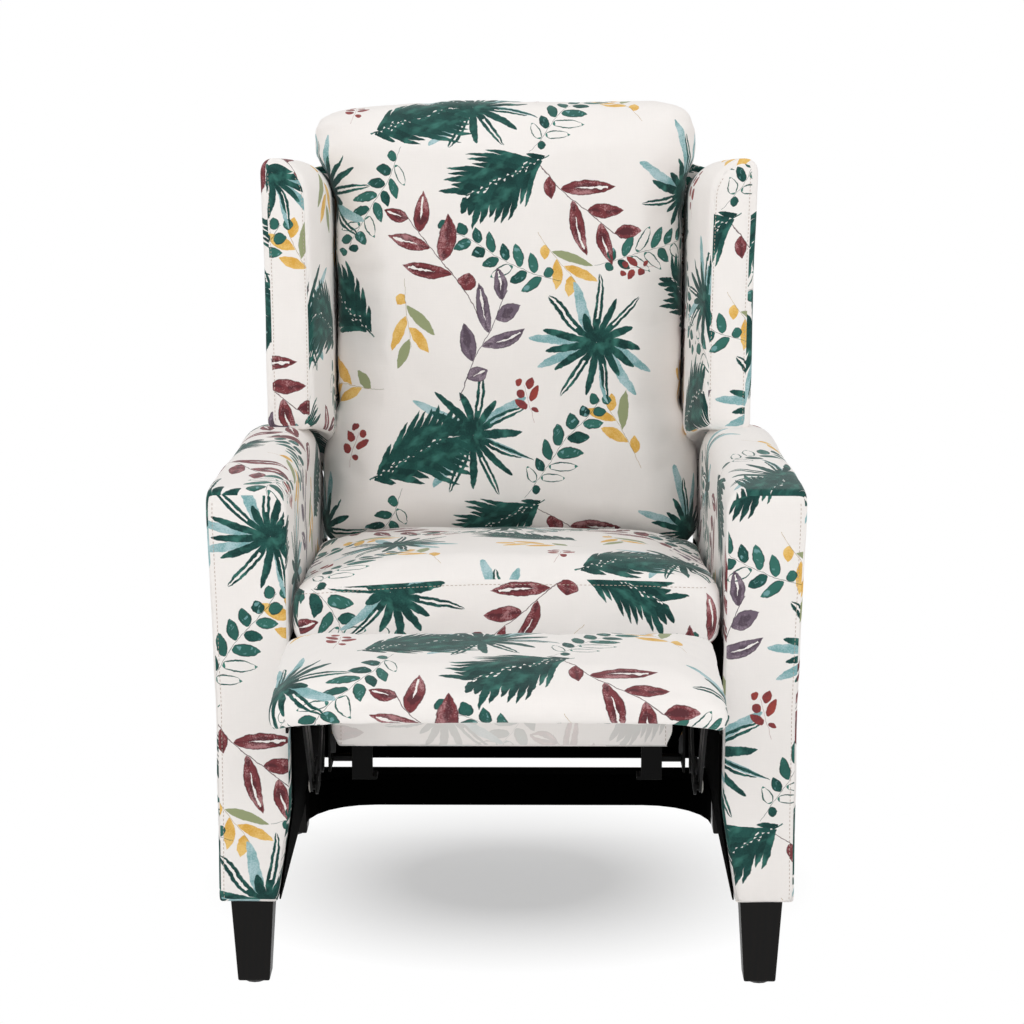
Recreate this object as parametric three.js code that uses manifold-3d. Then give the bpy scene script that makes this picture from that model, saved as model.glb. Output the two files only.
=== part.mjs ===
// Wingback push-back recliner with its footrest out and its back upright.
// Millimetres, +Z up, +X to the viewer's right, +Y towards the rear.
// The chair is drawn with y = 0 at the arms' front faces and z = 0 on the floor.

import * as THREE from 'three';
import { mergeVertices } from 'three/addons/utils/BufferGeometryUtils.js';
import Module from 'manifold-3d';

const wasm = await Module();
wasm.setup();

// General clearances
const touchGap = 0.3;
const pivotGap = 0.5;
const cutOverrun = 10;

// Arms
const armInnerHalf = 254;
const armThickness = 88.5;
const armCrownFlare = 7.5;
const armToeSlant = 18;
const armDepth = 662;
const armBottom = 110;
const armTop = 614;
const armFrontFall = 10;
const armFrontRun = 260;
const armToeRise = 120;
const armFallStart = 395;
const armFall = 170;
const armOuterRound = 26;
const armInnerRound = 38;
const armEdgeInset = 5;
const armEdgeDepth = 9;
const armPadding = 30;
const armWall = 14;
const armFrameInset = 16;
const armFrameWeb = 10;
const armFrameMember = 46;
const armSideHalf = armInnerHalf + armThickness;
const armOuterHalf = armSideHalf + armCrownFlare;
const armToeHalf = armInnerHalf + armToeSlant;

// Black lining on the inner arm faces
const liningThickness = 3;
const liningTop = 430;
const liningFront = 4;
const liningRearSetback = 50;

// Legs and glides
const legTopSize = 51;
const legBottomSize = 38;
const legSideSetback = 38.5;
const legFrontSetback = 40;
const legRearSetback = 29;
const glideHeight = 4;
const glideRadius = 14;

// Cross pieces of the base
const stretcherPlace = 400;
const stretcherDepth = 40;
const stretcherHeight = 42;
const stretcherFilletRadius = 90;
const rearRailSetback = 20;
const rearRailThickness = 22;
const rearRailHeight = 135;

// Seat frame
const mechanismSpace = 44.3;
const seatRailThickness = 20;
const seatRailBottom = 300;
const seatRailHeight = 120;
const seatFrameFront = 62;
const seatFrameRear = 520;
const bandThickness = 8;
const bandBottom = 287;
const bandSideInset = 2.7;
const bandTaper = 7;
const dustClothThickness = 3;
const seatFrameHalf = armInnerHalf - mechanismSpace;

// Seat springs
const springWireRadius = 2;
const springWave = 22;
const springPitch = 52;
const springCount = 3;
const springSpacing = 100;
const springSteps = 48;
const springSides = 5;

// Seat cushion
const seatCushionSideGap = 7;
const seatCushionFront = -10;
const seatCushionRear = 468;
const seatCushionHeight = 68;
const seatCushionCrown = 14;
const seatCushionFall = 24;
const seatCushionDrawn = 5;
const seatCushionRound = 26;
const seatCushionHalf = armInnerHalf - seatCushionSideGap;

// Fold-out mechanism: plates side by side, counted outwards from the seat frame
const plateThickness = 3;
const platePitch = 6;
const pivotRadius = 5;
const pivotOverhang = 0.6;
const pivotSides = 12;
const barEndSegments = 6;
const linkRadius = 10;
const rodRadius = 7;
const linkLength = 152;
const linkPivotPlace = 60;
const linkPivotHeight = 385;
const linkSpacing = 60;
const crankLength = 30;
const footPivotPlace = -150;
const footPivotHeight = 385;
const seatPlateFront = 45;
const seatPlateTop = 400;
const seatPlateStrip = 44;
const seatPlateLobe = 130;
const backPivotPlace = 560;
const backPivotHeight = 330;
const backPivotLobe = 16;

// Front brackets under the seat
const bracketInset = 3.7;
const bracketWidth = 25;
const bracketDepth = 26;
const bracketDrop = 56;
const bracketWall = 4;
const bracketFoot = 5;
const stubRadius = 5;
const stubRise = 24;

// Runner and its channel
const channelFront = 230;
const channelRear = 560;
const channelHeight = 40;
const channelBottom = backPivotHeight - channelHeight;
const channelWidth = 12.4;
const channelWall = 3;
const runnerFront = 290;
const runnerRear = 500;
const runnerClearance = 0.8;

// Footrest
const footSideGap = 10;
const footRear = -115;
const footFront = -367;
const footBottom = 428;
const footThickness = 36;
const footCrown = 5;
const footDrawn = 4;
const footRound = 20;
const footEar = 8;
const footBoardSideInset = 19;
const footBoardThickness = 12;
const footBoardInset = 16;
const footBoardProud = 1;
const flangeWidth = 41;
const flangeRear = -140;
const flangeFront = -330;
const flangeLip = 15;
const footHalf = armInnerHalf - footSideGap;
const footBoardHalf = footHalf - footBoardSideInset;

// Back, drawn upright from its pivot and then leaned
const backLean = 7;
const backPadSideGap = 28;
const backPadFront = -95;
const backPadLift = 22;
const backPadCrown = 12;
const backPadDrawn = 5;
const backPadRound = 34;
const backPadSpread = 14;
const backPadSpreadTop = 215;
const backPadWaist = 290;
const headSideGap = 8;
const headGap = 5;
const headOverlap = 45;
const headHeight = 71;
const headRear = 42;
const headCrown = 6;
const headRound = 34;
const postWidth = 26;
const frameDepth = 42;
const postBottom = 30;
const postTopSetback = 12;
const backRailHeight = 60;
const wingReach = 52;
const wingGap = 4;
const wingFrontThickness = 48;
const wingFront = -178;
const wingRake = 28;
const wingArmOverlap = 19;
const wingHeight = 347;
const wingSplay = 10;
const wingFlare = 92;
const wingTopRound = 46;
const wingBottomRound = 30;
const wingEdgeInset = 9;
const wingPanelThickness = 18;
const wingPanelMargin = 30;
const outsideThickness = 6;
const outsideLowerBottom = -40;
const backPlateHeight = 180;
const backPlateWidth = 36;
const backPadHalf = armInnerHalf - backPadSideGap;
const backPadBottom = seatRailBottom + seatRailHeight + backPadLift - backPivotHeight;
const wingBottom = armTop - wingArmOverlap - backPivotHeight;
const wingTop = wingBottom + wingHeight;
const headBottom = wingTop + headGap;
const headTop = headBottom + headHeight;
const backPadTop = headBottom + headOverlap;
const postTop = wingTop - postTopSetback;
const headHalf = armInnerHalf - headSideGap;
const wingOuterHalf = armInnerHalf + wingReach;
const wingInnerHalf = backPadHalf + wingGap;

// Finishes
function finish(color, roughness, metalness = 0) {
  return new THREE.MeshStandardMaterial({ color, roughness, metalness });
}
const printedFabric = () => finish(0xe6ddd3, 0.9);
const blackCloth = () => finish(0x121211, 0.95);
const darkWood = () => finish(0x17110f, 0.45);
const frameWood = () => finish(0xb8935f, 0.75);
const blackSteel = () => finish(0x151515, 0.4, 0.8);
const springSteel = () => finish(0x6a6a68, 0.35, 1);
const nylon = () => finish(0x2a2a2a, 0.6);

// Solids
function bare(geometry) {
  const copy = geometry.clone();
  copy.deleteAttribute('normal');
  copy.deleteAttribute('uv');
  return mergeVertices(copy);
}

function toSolid(geometry) {
  const merged = bare(geometry);
  const vertProperties = new Float32Array(merged.attributes.position.array);
  const triVerts = new Uint32Array(merged.index.array);
  return new wasm.Manifold(new wasm.Mesh({ numProp: 3, vertProperties, triVerts }));
}

function toGeometry(solid) {
  const mesh = solid.getMesh();
  const geometry = new THREE.BufferGeometry();
  geometry.setAttribute('position', new THREE.BufferAttribute(new Float32Array(mesh.vertProperties), 3));
  geometry.setIndex(new THREE.BufferAttribute(new Uint32Array(mesh.triVerts), 1));
  return geometry;
}

function join(...pieces) {
  return toGeometry(pieces.map(toSolid).reduce((whole, piece) => whole.add(piece)));
}

function cut(body, ...tools) {
  return toGeometry(tools.map(toSolid).reduce((left, tool) => left.subtract(tool), toSolid(body)));
}

// A box between two corners
function block([x0, x1], [y0, y1], [z0, z1]) {
  const geometry = new THREE.BoxGeometry(x1 - x0, y1 - y0, z1 - z0);
  return geometry.translate((x0 + x1) / 2, (y0 + y1) / 2, (z0 + z1) / 2);
}

function outline(points) {
  return new THREE.Shape(points.map(([a, b]) => new THREE.Vector2(a, b)));
}

// A side outline of (y, z) points, given thickness along x
function slabAlongX(points, x0, x1) {
  const geometry = new THREE.ExtrudeGeometry(outline(points), { depth: x1 - x0, bevelEnabled: false });
  const turn = new THREE.Matrix4().set(0, 0, 1, x0, 1, 0, 0, 0, 0, 1, 0, 0, 0, 0, 0, 1);
  return geometry.applyMatrix4(turn);
}

// A front outline of (x, z) points, given thickness along y
function slabAlongY(points, y0, y1) {
  const geometry = new THREE.ExtrudeGeometry(outline(points), { depth: y1 - y0, bevelEnabled: false });
  return geometry.rotateX(Math.PI / 2).translate(0, y1, 0);
}

// A plan outline of (x, y) points, given height along z
function slabAlongZ(points, z0, z1) {
  const geometry = new THREE.ExtrudeGeometry(outline(points), { depth: z1 - z0, bevelEnabled: false });
  return geometry.translate(0, 0, z0);
}

// A short round bar along x
function roundBar([y, z], radius, x0, x1) {
  const geometry = new THREE.CylinderGeometry(radius, radius, x1 - x0, pivotSides);
  return geometry.rotateZ(Math.PI / 2).translate((x0 + x1) / 2, y, z);
}

// A flat bar with round ends between two (y, z) points
function flatBar([y0, z0], [y1, z1], radius, x0, x1) {
  const along = Math.atan2(z1 - z0, y1 - y0);
  const shape = new THREE.Shape();
  shape.absarc(y0, z0, radius, along + Math.PI / 2, along + (3 * Math.PI) / 2, false);
  shape.absarc(y1, z1, radius, along - Math.PI / 2, along + Math.PI / 2, false);
  const settings = { depth: x1 - x0, bevelEnabled: false, curveSegments: barEndSegments };
  const geometry = new THREE.ExtrudeGeometry(shape, settings);
  const turn = new THREE.Matrix4().set(0, 0, 1, x0, 1, 0, 0, 0, 0, 1, 0, 0, 0, 0, 0, 1);
  return geometry.applyMatrix4(turn);
}

// A closed skin through rings of points that all have the same count
function loft(rings) {
  const count = rings[0].length;
  const positions = rings.flat().flatMap((point) => [point.x, point.y, point.z]);
  const index = [];
  for (let ring = 0; ring < rings.length - 1; ring += 1) {
    for (let k = 0; k < count; k += 1) {
      const next = (k + 1) % count;
      const low = ring * count;
      const high = low + count;
      index.push(low + k, low + next, high + next, low + k, high + next, high + k);
    }
  }
  const last = (rings.length - 1) * count;
  for (let k = 1; k < count - 1; k += 1) {
    index.push(0, k + 1, k);
    index.push(last, last + k, last + k + 1);
  }
  const geometry = new THREE.BufferGeometry();
  geometry.setAttribute('position', new THREE.Float32BufferAttribute(positions, 3));
  geometry.setIndex(index);
  return geometry;
}

// The same piece for the other side
function mirrored(geometry) {
  const copy = bare(geometry);
  copy.applyMatrix4(new THREE.Matrix4().makeScale(-1, 1, 1));
  const order = copy.index.array;
  for (let k = 0; k < order.length; k += 3) {
    [order[k], order[k + 1]] = [order[k + 1], order[k]];
  }
  return copy;
}

// A stuffed block: rounded edges, a crown on the faces named in crowned, sides drawn in
// between the corners. Its grid is closer towards the edges, where the form turns.
const roundLimitShare = 0.9;

function stuffed({ x, y, z, cells, round, crown, crowned, drawn }) {
  const geometry = bare(new THREE.BoxGeometry(1, 1, 1, ...cells));
  const half = new THREE.Vector3((x[1] - x[0]) / 2, (y[1] - y[0]) / 2, (z[1] - z[0]) / 2);
  const centre = new THREE.Vector3((x[1] + x[0]) / 2, (y[1] + y[0]) / 2, (z[1] + z[0]) / 2);
  const radius = half.clone().multiplyScalar(roundLimitShare).min(new THREE.Vector3(round, round, round));
  const position = geometry.attributes.position;
  for (let k = 0; k < position.count; k += 1) {
    const unit = new THREE.Vector3().fromBufferAttribute(position, k).multiplyScalar(2);
    const spread = unit.clone();
    ['x', 'y', 'z'].forEach((axis) => {
      spread[axis] = Math.sin((unit[axis] * Math.PI) / 2) * half[axis];
    });
    const core = spread.clone();
    ['x', 'y', 'z'].forEach((axis) => {
      const reach = half[axis] - radius[axis];
      core[axis] = THREE.MathUtils.clamp(core[axis], -reach, reach);
    });
    const out = spread.clone().sub(core);
    ['x', 'y', 'z'].forEach((axis) => {
      out[axis] /= radius[axis];
    });
    if (out.length() > 0) {
      const largest = Math.max(Math.abs(out.x), Math.abs(out.y), Math.abs(out.z));
      out.multiplyScalar(largest / out.length());
    }
    const place = core.clone().add(out.multiply(radius));
    const swellX = 1 - unit.x ** 2;
    const swellY = 1 - unit.y ** 2;
    const swellZ = 1 - unit.z ** 2;
    if (Math.abs(unit.x) === 1) {
      place.x -= Math.sign(unit.x) * drawn * swellY * swellZ;
    }
    if (crowned.includes('top') && unit.z === 1) {
      place.z += crown * swellX * swellY;
    }
    if (crowned.includes('front') && unit.y === -1) {
      place.y -= crown * swellX * swellZ;
    }
    place.add(centre);
    position.setXYZ(k, place.x, place.y, place.z);
  }
  return geometry;
}

// The chair and its groups
const chair = new THREE.Group();
chair.name = 'wingback_recliner';
const back = new THREE.Group();
back.position.set(0, backPivotPlace, backPivotHeight);
back.rotation.x = -THREE.MathUtils.degToRad(backLean);
chair.add(back);

function place(group, name, geometry, material, at = [0, 0, 0]) {
  const mesh = new THREE.Mesh(geometry, material);
  mesh.name = name;
  mesh.position.set(...at);
  group.add(mesh);
}

// Puts the piece on the right, and its mirror image on the left
function placePair(group, name, geometry, material) {
  place(group, `${name}_right`, geometry, material());
  place(group, `${name}_left`, mirrored(geometry), material());
}

// Arms: the inner face draws outwards towards the floor, and the crown falls at both ends
const toeTop = armBottom + armToeRise;

function armInnerAt(z) {
  const share = THREE.MathUtils.clamp((toeTop - z) / armToeRise, 0, 1);
  return armInnerHalf + (armToeHalf - armInnerHalf) * share;
}

function armTopAt(y) {
  const frontShare = Math.max(0, 1 - y / armFrontRun);
  const rearShare = Math.max(0, (y - armFallStart) / (armDepth - armFallStart));
  return armTop - armFrontFall * frontShare ** 2 - armFall * rearShare ** 2;
}

function armRing(y, inset) {
  const top = armTopAt(y) - inset;
  const outer = armOuterHalf - inset;
  const points = [
    [armToeHalf + inset, armBottom],
    [armSideHalf - inset, armBottom],
    [armSideHalf - inset, (armBottom + top) / 2],
  ];
  const arcSteps = 5;
  for (let k = 0; k <= arcSteps; k += 1) {
    const turn = (k / arcSteps) * (Math.PI / 2);
    const across = outer - armOuterRound * (1 - Math.cos(turn));
    points.push([across, top - armOuterRound * (1 - Math.sin(turn))]);
  }
  for (let k = 0; k <= arcSteps; k += 1) {
    const turn = (k / arcSteps) * (Math.PI / 2);
    const across = armInnerHalf + inset + armInnerRound * (1 - Math.sin(turn));
    points.push([across, top - armInnerRound * (1 - Math.cos(turn))]);
  }
  points.push([armInnerHalf + inset, toeTop]);
  return points.map(([px, pz]) => new THREE.Vector3(px, y, pz)).reverse();
}

function armSideOutline(inset, bottom) {
  const points = [[inset, bottom], [armDepth - inset, bottom]];
  const fallSteps = 6;
  for (let k = fallSteps; k >= 0; k -= 1) {
    const y = armFallStart + ((armDepth - inset - armFallStart) * k) / fallSteps;
    points.push([y, armTopAt(y) - armPadding]);
  }
  points.push([inset, armTopAt(inset) - armPadding]);
  return points;
}

const armFrameInner = armToeHalf + armWall;
const armFrameOuter = armSideHalf - armWall;

function armCover() {
  const run = armDepth - armEdgeDepth;
  const places = [armEdgeDepth, armFrontRun / 2, armFrontRun, armFallStart];
  const fallShares = [0.25, 0.45, 0.62, 0.78, 0.9];
  fallShares.forEach((share) => places.push(armFallStart + (run - armFallStart) * share));
  const rings = [
    armRing(0, armEdgeInset),
    ...places.map((y) => armRing(y, 0)),
    armRing(run, 0),
    armRing(armDepth, armEdgeInset),
  ];
  const pocketOutline = armSideOutline(armFrameInset, armBottom - cutOverrun);
  const pocket = slabAlongX(pocketOutline, armFrameInner, armFrameOuter);
  return cut(loft(rings), pocket);
}

// A web board with a frame of members standing proud of it
function armFrame() {
  const inset = armFrameInset + touchGap;
  const inner = armFrameInner + touchGap;
  const outer = armFrameOuter - touchGap;
  const trimmed = armSideOutline(inset, armBottom).map(([y, z]) => [y, z > armBottom ? z - touchGap : z]);
  const blank = slabAlongX(trimmed, inner, outer);
  const low = armBottom + armFrameMember;
  const high = armTopAt(0) - armPadding - armFrameMember;
  const middle = armFallStart / 2;
  const front = inset + armFrameMember;
  const bays = [
    [front, middle - armFrameMember / 2],
    [middle + armFrameMember / 2, armFallStart],
  ];
  const pockets = bays.map((bay) => block([inner + armFrameWeb, outer + cutOverrun], bay, [low, high]));
  return cut(blank, ...pockets);
}

// The black lining follows the inner arm face
function armLining() {
  const face = [
    [armInnerHalf, liningTop],
    [armInnerHalf, toeTop],
    [armInnerAt(armBottom), armBottom],
  ];
  const near = face.map(([x, z]) => [x - touchGap, z]);
  const far = face.map(([x, z]) => [x - touchGap - liningThickness, z]).reverse();
  return slabAlongY([...near, ...far], liningFront, armDepth - liningRearSetback);
}

placePair(chair, 'arm_cover', armCover(), printedFabric);
placePair(chair, 'arm_frame', armFrame(), frameWood);
placePair(chair, 'arm_lining', armLining(), blackCloth);

// Legs and glides
function leg() {
  const ring = (size, z) => [
    new THREE.Vector3(-size / 2, -size / 2, z),
    new THREE.Vector3(size / 2, -size / 2, z),
    new THREE.Vector3(size / 2, size / 2, z),
    new THREE.Vector3(-size / 2, size / 2, z),
  ];
  const top = armBottom - touchGap;
  return loft([ring(legBottomSize, glideHeight), ring(legTopSize, top)]);
}

const glideRimShare = 0.12;

function glide() {
  const height = glideHeight - touchGap;
  const rim = glideRadius * glideRimShare;
  const profile = [
    [0, 0],
    [glideRadius - rim, 0],
    [glideRadius, rim],
    [glideRadius, height],
    [0, height],
  ];
  const points = profile.map(([r, h]) => new THREE.Vector2(r, h));
  return new THREE.LatheGeometry(points, pivotSides).rotateX(Math.PI / 2);
}

const legCentreHalf = armSideHalf - legSideSetback;
const legPlaces = [
  ['front_left', -legCentreHalf, legFrontSetback],
  ['front_right', legCentreHalf, legFrontSetback],
  ['rear_left', -legCentreHalf, armDepth - legRearSetback],
  ['rear_right', legCentreHalf, armDepth - legRearSetback],
];
legPlaces.forEach(([name, x, y]) => {
  place(chair, `leg_${name}`, leg(), darkWood(), [x, y, 0]);
  place(chair, `glide_${name}`, glide(), nylon(), [x, y, 0]);
});

// Cloth-wrapped stretcher between the arms, its front corners rounded into the linings
function liningInnerAt(z) {
  return armInnerAt(z) - touchGap - liningThickness;
}

function stretcher() {
  const half = liningInnerAt(armBottom + stretcherHeight) - touchGap;
  const rear = stretcherPlace + stretcherDepth;
  const points = [[-half, rear]];
  const cornerSteps = 6;
  for (let k = 0; k <= cornerSteps; k += 1) {
    const turn = (k / cornerSteps) * (Math.PI / 2);
    const across = -half + stretcherFilletRadius * (1 - Math.cos(turn));
    points.push([across, stretcherPlace - stretcherFilletRadius * (1 - Math.sin(turn))]);
  }
  const otherSide = points.map(([x, y]) => [-x, y]).reverse();
  return slabAlongZ([...points, ...otherSide], armBottom, armBottom + stretcherHeight);
}

function rearRail() {
  const top = armBottom + rearRailHeight;
  const side = [
    [armInnerAt(armBottom) - touchGap, armBottom],
    [armInnerAt(toeTop) - touchGap, toeTop],
    [armInnerAt(top) - touchGap, top],
  ];
  const otherSide = side.map(([x, z]) => [-x, z]).reverse();
  const rear = armDepth - rearRailSetback;
  return slabAlongY([...side, ...otherSide], rear - rearRailThickness, rear);
}

place(chair, 'base_stretcher', stretcher(), blackCloth());
place(chair, 'base_rear_rail', rearRail(), printedFabric());

// Channels that carry the seat, one on each lining
const channelOuter = liningInnerAt(liningTop) - touchGap;
const channelInner = channelOuter - channelWidth;
const channelTop = channelBottom + channelHeight;

function channel() {
  const run = [channelFront, channelRear];
  const body = block([channelInner, channelOuter], run, [channelBottom, channelTop]);
  const hollow = block(
    [channelInner - cutOverrun, channelOuter - channelWall],
    [channelFront - cutOverrun, channelRear + cutOverrun],
    [channelBottom + channelWall, channelTop - channelWall],
  );
  return cut(body, hollow);
}

placePair(chair, 'seat_channel', channel(), blackSteel);

// Seat frame
const seatRailTop = seatRailBottom + seatRailHeight;
const seatRailInner = seatFrameHalf - seatRailThickness;
const crossHalf = seatRailInner - touchGap;

function seatSideRail() {
  const run = [seatFrameFront, seatFrameRear];
  return block([seatRailInner, seatFrameHalf], run, [seatRailBottom, seatRailTop]);
}

function seatCrossRail(y) {
  return block([-crossHalf, crossHalf], [y, y + seatRailThickness], [seatRailBottom, seatRailTop]);
}

placePair(chair, 'seat_side_rail', seatSideRail(), frameWood);
place(chair, 'seat_front_rail', seatCrossRail(seatFrameFront), frameWood());
place(chair, 'seat_rear_rail', seatCrossRail(seatFrameRear - seatRailThickness), frameWood());

// Fabric band over the front of the seat frame
function frontBand() {
  const topHalf = seatFrameHalf - bandSideInset;
  const side = [[topHalf - bandTaper, bandBottom], [topHalf, seatRailBottom], [topHalf, seatRailTop]];
  const otherSide = side.map(([x, z]) => [-x, z]).reverse();
  const rear = seatFrameFront - touchGap;
  return slabAlongY([...side, ...otherSide], rear - bandThickness, rear);
}

place(chair, 'seat_front_band', frontBand(), printedFabric());

// Black cloth under the seat, behind the front brackets
const bracketFront = seatFrameFront;
const bracketRear = bracketFront + bracketDepth;
const dustTop = seatRailBottom - touchGap;
place(
  chair,
  'seat_dust_cloth',
  block(
    [-seatRailInner, seatRailInner],
    [bracketRear + touchGap, seatFrameRear],
    [dustTop - dustClothThickness, dustTop],
  ),
  blackCloth(),
);

// Wave springs lie on the front and rear rails
class SpringPath extends THREE.Curve {
  getPoint(t, target = new THREE.Vector3()) {
    const margin = seatRailThickness / 2;
    const start = seatFrameFront + margin;
    const run = seatFrameRear - margin - start;
    const waves = Math.max(1, Math.round(run / springPitch));
    return target.set(springWave * Math.sin(t * waves * 2 * Math.PI), start + run * t, 0);
  }
}

function waveSpring() {
  const turns = Array.from({ length: springSides }, (_, k) => (k * 2 * Math.PI) / springSides);
  const wire = springWireRadius;
  const section = turns.map((turn) => [wire * Math.cos(turn), wire * Math.sin(turn)]);
  return new THREE.ExtrudeGeometry(outline(section), {
    extrudePath: new SpringPath(),
    steps: springSteps,
    bevelEnabled: false,
  });
}

const springHeight = seatRailTop + touchGap + springWireRadius;
for (let k = 0; k < springCount; k += 1) {
  const x = (k - (springCount - 1) / 2) * springSpacing;
  place(chair, `seat_spring_${k + 1}`, waveSpring(), springSteel(), [x, 0, springHeight]);
}

// Seat cushion: crowned, drawn in at the sides, lower towards the back
const seatCushionBottom = springHeight + springWireRadius + touchGap;

function seatCushion() {
  const geometry = stuffed({
    x: [-seatCushionHalf, seatCushionHalf],
    y: [seatCushionFront, seatCushionRear],
    z: [seatCushionBottom, seatCushionBottom + seatCushionHeight],
    cells: [12, 12, 6],
    round: seatCushionRound,
    crown: seatCushionCrown,
    crowned: ['top'],
    drawn: seatCushionDrawn,
  });
  const position = geometry.attributes.position;
  const run = seatCushionRear - seatCushionFront;
  for (let k = 0; k < position.count; k += 1) {
    const heightShare = (position.getZ(k) - seatCushionBottom) / seatCushionHeight;
    const depthShare = (position.getY(k) - seatCushionFront) / run;
    position.setZ(k, position.getZ(k) - seatCushionFall * heightShare * depthShare);
  }
  return geometry;
}

place(chair, 'seat_cushion', seatCushion(), printedFabric());

// Layers of the fold-out mechanism
function layer(count) {
  const inner = seatFrameHalf + touchGap + platePitch * count;
  return [inner, inner + plateThickness];
}
const seatLayer = layer(0);
const linkLayer = layer(1);
const carrierLayer = layer(2);
const footLayer = layer(3);
const holeRadius = pivotRadius + pivotGap;

function holeThrough(point, [x0, x1]) {
  return roundBar(point, holeRadius, x0 - cutOverrun, x1 + cutOverrun);
}

// A pin that starts in the plate at from and reaches through the plate at to
function pinOutwards(point, from, to) {
  return roundBar(point, pivotRadius, from[0], to[1] + pivotOverhang);
}

function pinInwards(point, from, to) {
  return roundBar(point, pivotRadius, to[0] - pivotOverhang, from[1]);
}

// Pivots with the footrest out, as (y, z); the links turn 90 degrees to stow it
function offset([y, z], length, degrees) {
  const angle = THREE.MathUtils.degToRad(degrees);
  return [y + length * Math.cos(angle), z + length * Math.sin(angle)];
}
const linkAngle = -135;
const frontPivot = [linkPivotPlace, linkPivotHeight];
const rearPivot = [linkPivotPlace + linkSpacing, linkPivotHeight];
const frontKnee = offset(frontPivot, linkLength, linkAngle);
const rearKnee = offset(rearPivot, linkLength, linkAngle);
const footPivot = [footPivotPlace, footPivotHeight];
const crankPivot = offset(frontKnee, -crankLength, 0);
const flipPivot = offset(footPivot, -crankLength, 0);
const backPivot = [backPivotPlace, backPivotHeight];

// Seat plate: carries the link pivots, the runner and the back pivot
const stubPlace = seatFrameFront + bracketDepth / 2;
const stubHeight = seatRailBottom - bracketDrop + stubRise;

function seatPlate() {
  const head = block(
    seatLayer,
    [seatPlateFront, linkPivotPlace + linkSpacing + 2 * linkRadius],
    [stubHeight - 2 * stubRadius, seatPlateTop],
  );
  const strip = block(
    seatLayer,
    [seatPlateFront + linkRadius, backPivotPlace],
    [backPivotHeight - seatPlateStrip / 2, backPivotHeight + seatPlateStrip / 2],
  );
  const lobe = flatBar(
    [backPivotPlace - seatPlateLobe, backPivotHeight],
    backPivot,
    backPivotLobe,
    ...seatLayer,
  );
  const trimmedStrip = cut(
    strip,
    block(
      [seatLayer[0] - cutOverrun, seatLayer[1] + cutOverrun],
      [backPivotPlace - backPivotLobe, backPivotPlace + cutOverrun],
      [backPivotHeight - seatPlateStrip, backPivotHeight + seatPlateStrip],
    ),
  );
  const pins = [frontPivot, rearPivot, backPivot].map((point) => pinOutwards(point, seatLayer, linkLayer));
  return join(head, trimmedStrip, lobe, ...pins);
}

placePair(chair, 'seat_plate', seatPlate(), blackSteel);

// Runner that slides in the channel
function runner() {
  const gap = runnerClearance;
  return block(
    [seatLayer[1] + touchGap, channelOuter - channelWall - gap],
    [runnerFront, runnerRear],
    [channelBottom + channelWall + gap, channelTop - channelWall - gap],
  );
}

placePair(chair, 'seat_runner', runner(), nylon);

// Bracket under the front rail, tied to the seat plate by a stub
function frontBracket() {
  const outer = seatRailInner - bracketInset;
  const inner = outer - bracketWidth;
  const top = seatRailBottom - touchGap;
  const bottom = seatRailBottom - bracketDrop;
  const deep = [bracketFront, bracketRear];
  const stub = [outer - bracketWall, seatLayer[0] - touchGap];
  return join(
    block([inner, outer], [bracketFront, bracketFront + bracketWall], [bottom, top]),
    block([inner - bracketFoot, outer], deep, [bottom, bottom + bracketWall]),
    block([inner, outer], deep, [top - bracketWall, top]),
    block([outer - bracketWall, outer], deep, [bottom, top]),
    roundBar([stubPlace, stubHeight], stubRadius, ...stub),
  );
}

placePair(chair, 'front_bracket', frontBracket(), blackSteel);

// Links, carrier and flip rod
function frontLink() {
  const blank = join(
    flatBar(frontPivot, frontKnee, linkRadius, ...linkLayer),
    flatBar(frontKnee, crankPivot, linkRadius, ...linkLayer),
  );
  return cut(blank, ...[frontPivot, frontKnee, crankPivot].map((point) => holeThrough(point, linkLayer)));
}

function rearLink() {
  const blank = flatBar(rearPivot, rearKnee, linkRadius, ...linkLayer);
  return cut(blank, holeThrough(rearPivot, linkLayer), holeThrough(rearKnee, linkLayer));
}

function carrier() {
  return join(
    flatBar(rearKnee, frontKnee, linkRadius, ...carrierLayer),
    flatBar(frontKnee, footPivot, linkRadius, ...carrierLayer),
    pinInwards(frontKnee, carrierLayer, linkLayer),
    pinInwards(rearKnee, carrierLayer, linkLayer),
    pinOutwards(footPivot, carrierLayer, footLayer),
  );
}

function flipRod() {
  return join(
    flatBar(crankPivot, flipPivot, rodRadius, ...carrierLayer),
    pinInwards(crankPivot, carrierLayer, linkLayer),
    pinOutwards(flipPivot, carrierLayer, footLayer),
  );
}

placePair(chair, 'swing_link_front', frontLink(), blackSteel);
placePair(chair, 'swing_link_rear', rearLink(), blackSteel);
placePair(chair, 'footrest_carrier', carrier(), blackSteel);
placePair(chair, 'footrest_flip_rod', flipRod(), blackSteel);

// Footrest: bracket, board and pad
const boardBottom = footBottom - footBoardProud;
const flangeTop = boardBottom - touchGap;
const flangeBottom = flangeTop - plateThickness;

function footBracket() {
  const run = [flangeFront, flangeRear];
  const neckRun = [flipPivot[0] - linkRadius, footPivot[0] + linkRadius];
  const blank = join(
    block([footLayer[1] - flangeWidth, footLayer[1]], run, [flangeBottom, flangeTop]),
    block(footLayer, run, [flangeBottom - flangeLip, flangeTop]),
    block(footLayer, neckRun, [footPivotHeight, flangeTop]),
    flatBar(flipPivot, footPivot, linkRadius, ...footLayer),
  );
  return cut(blank, holeThrough(flipPivot, footLayer), holeThrough(footPivot, footLayer));
}

function footBoard(gap) {
  const half = footBoardHalf + gap;
  const y = [footFront + footBoardInset - gap, footRear - footBoardInset + gap];
  return block([-half, half], y, [boardBottom, boardBottom + footBoardThickness + gap]);
}

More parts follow.
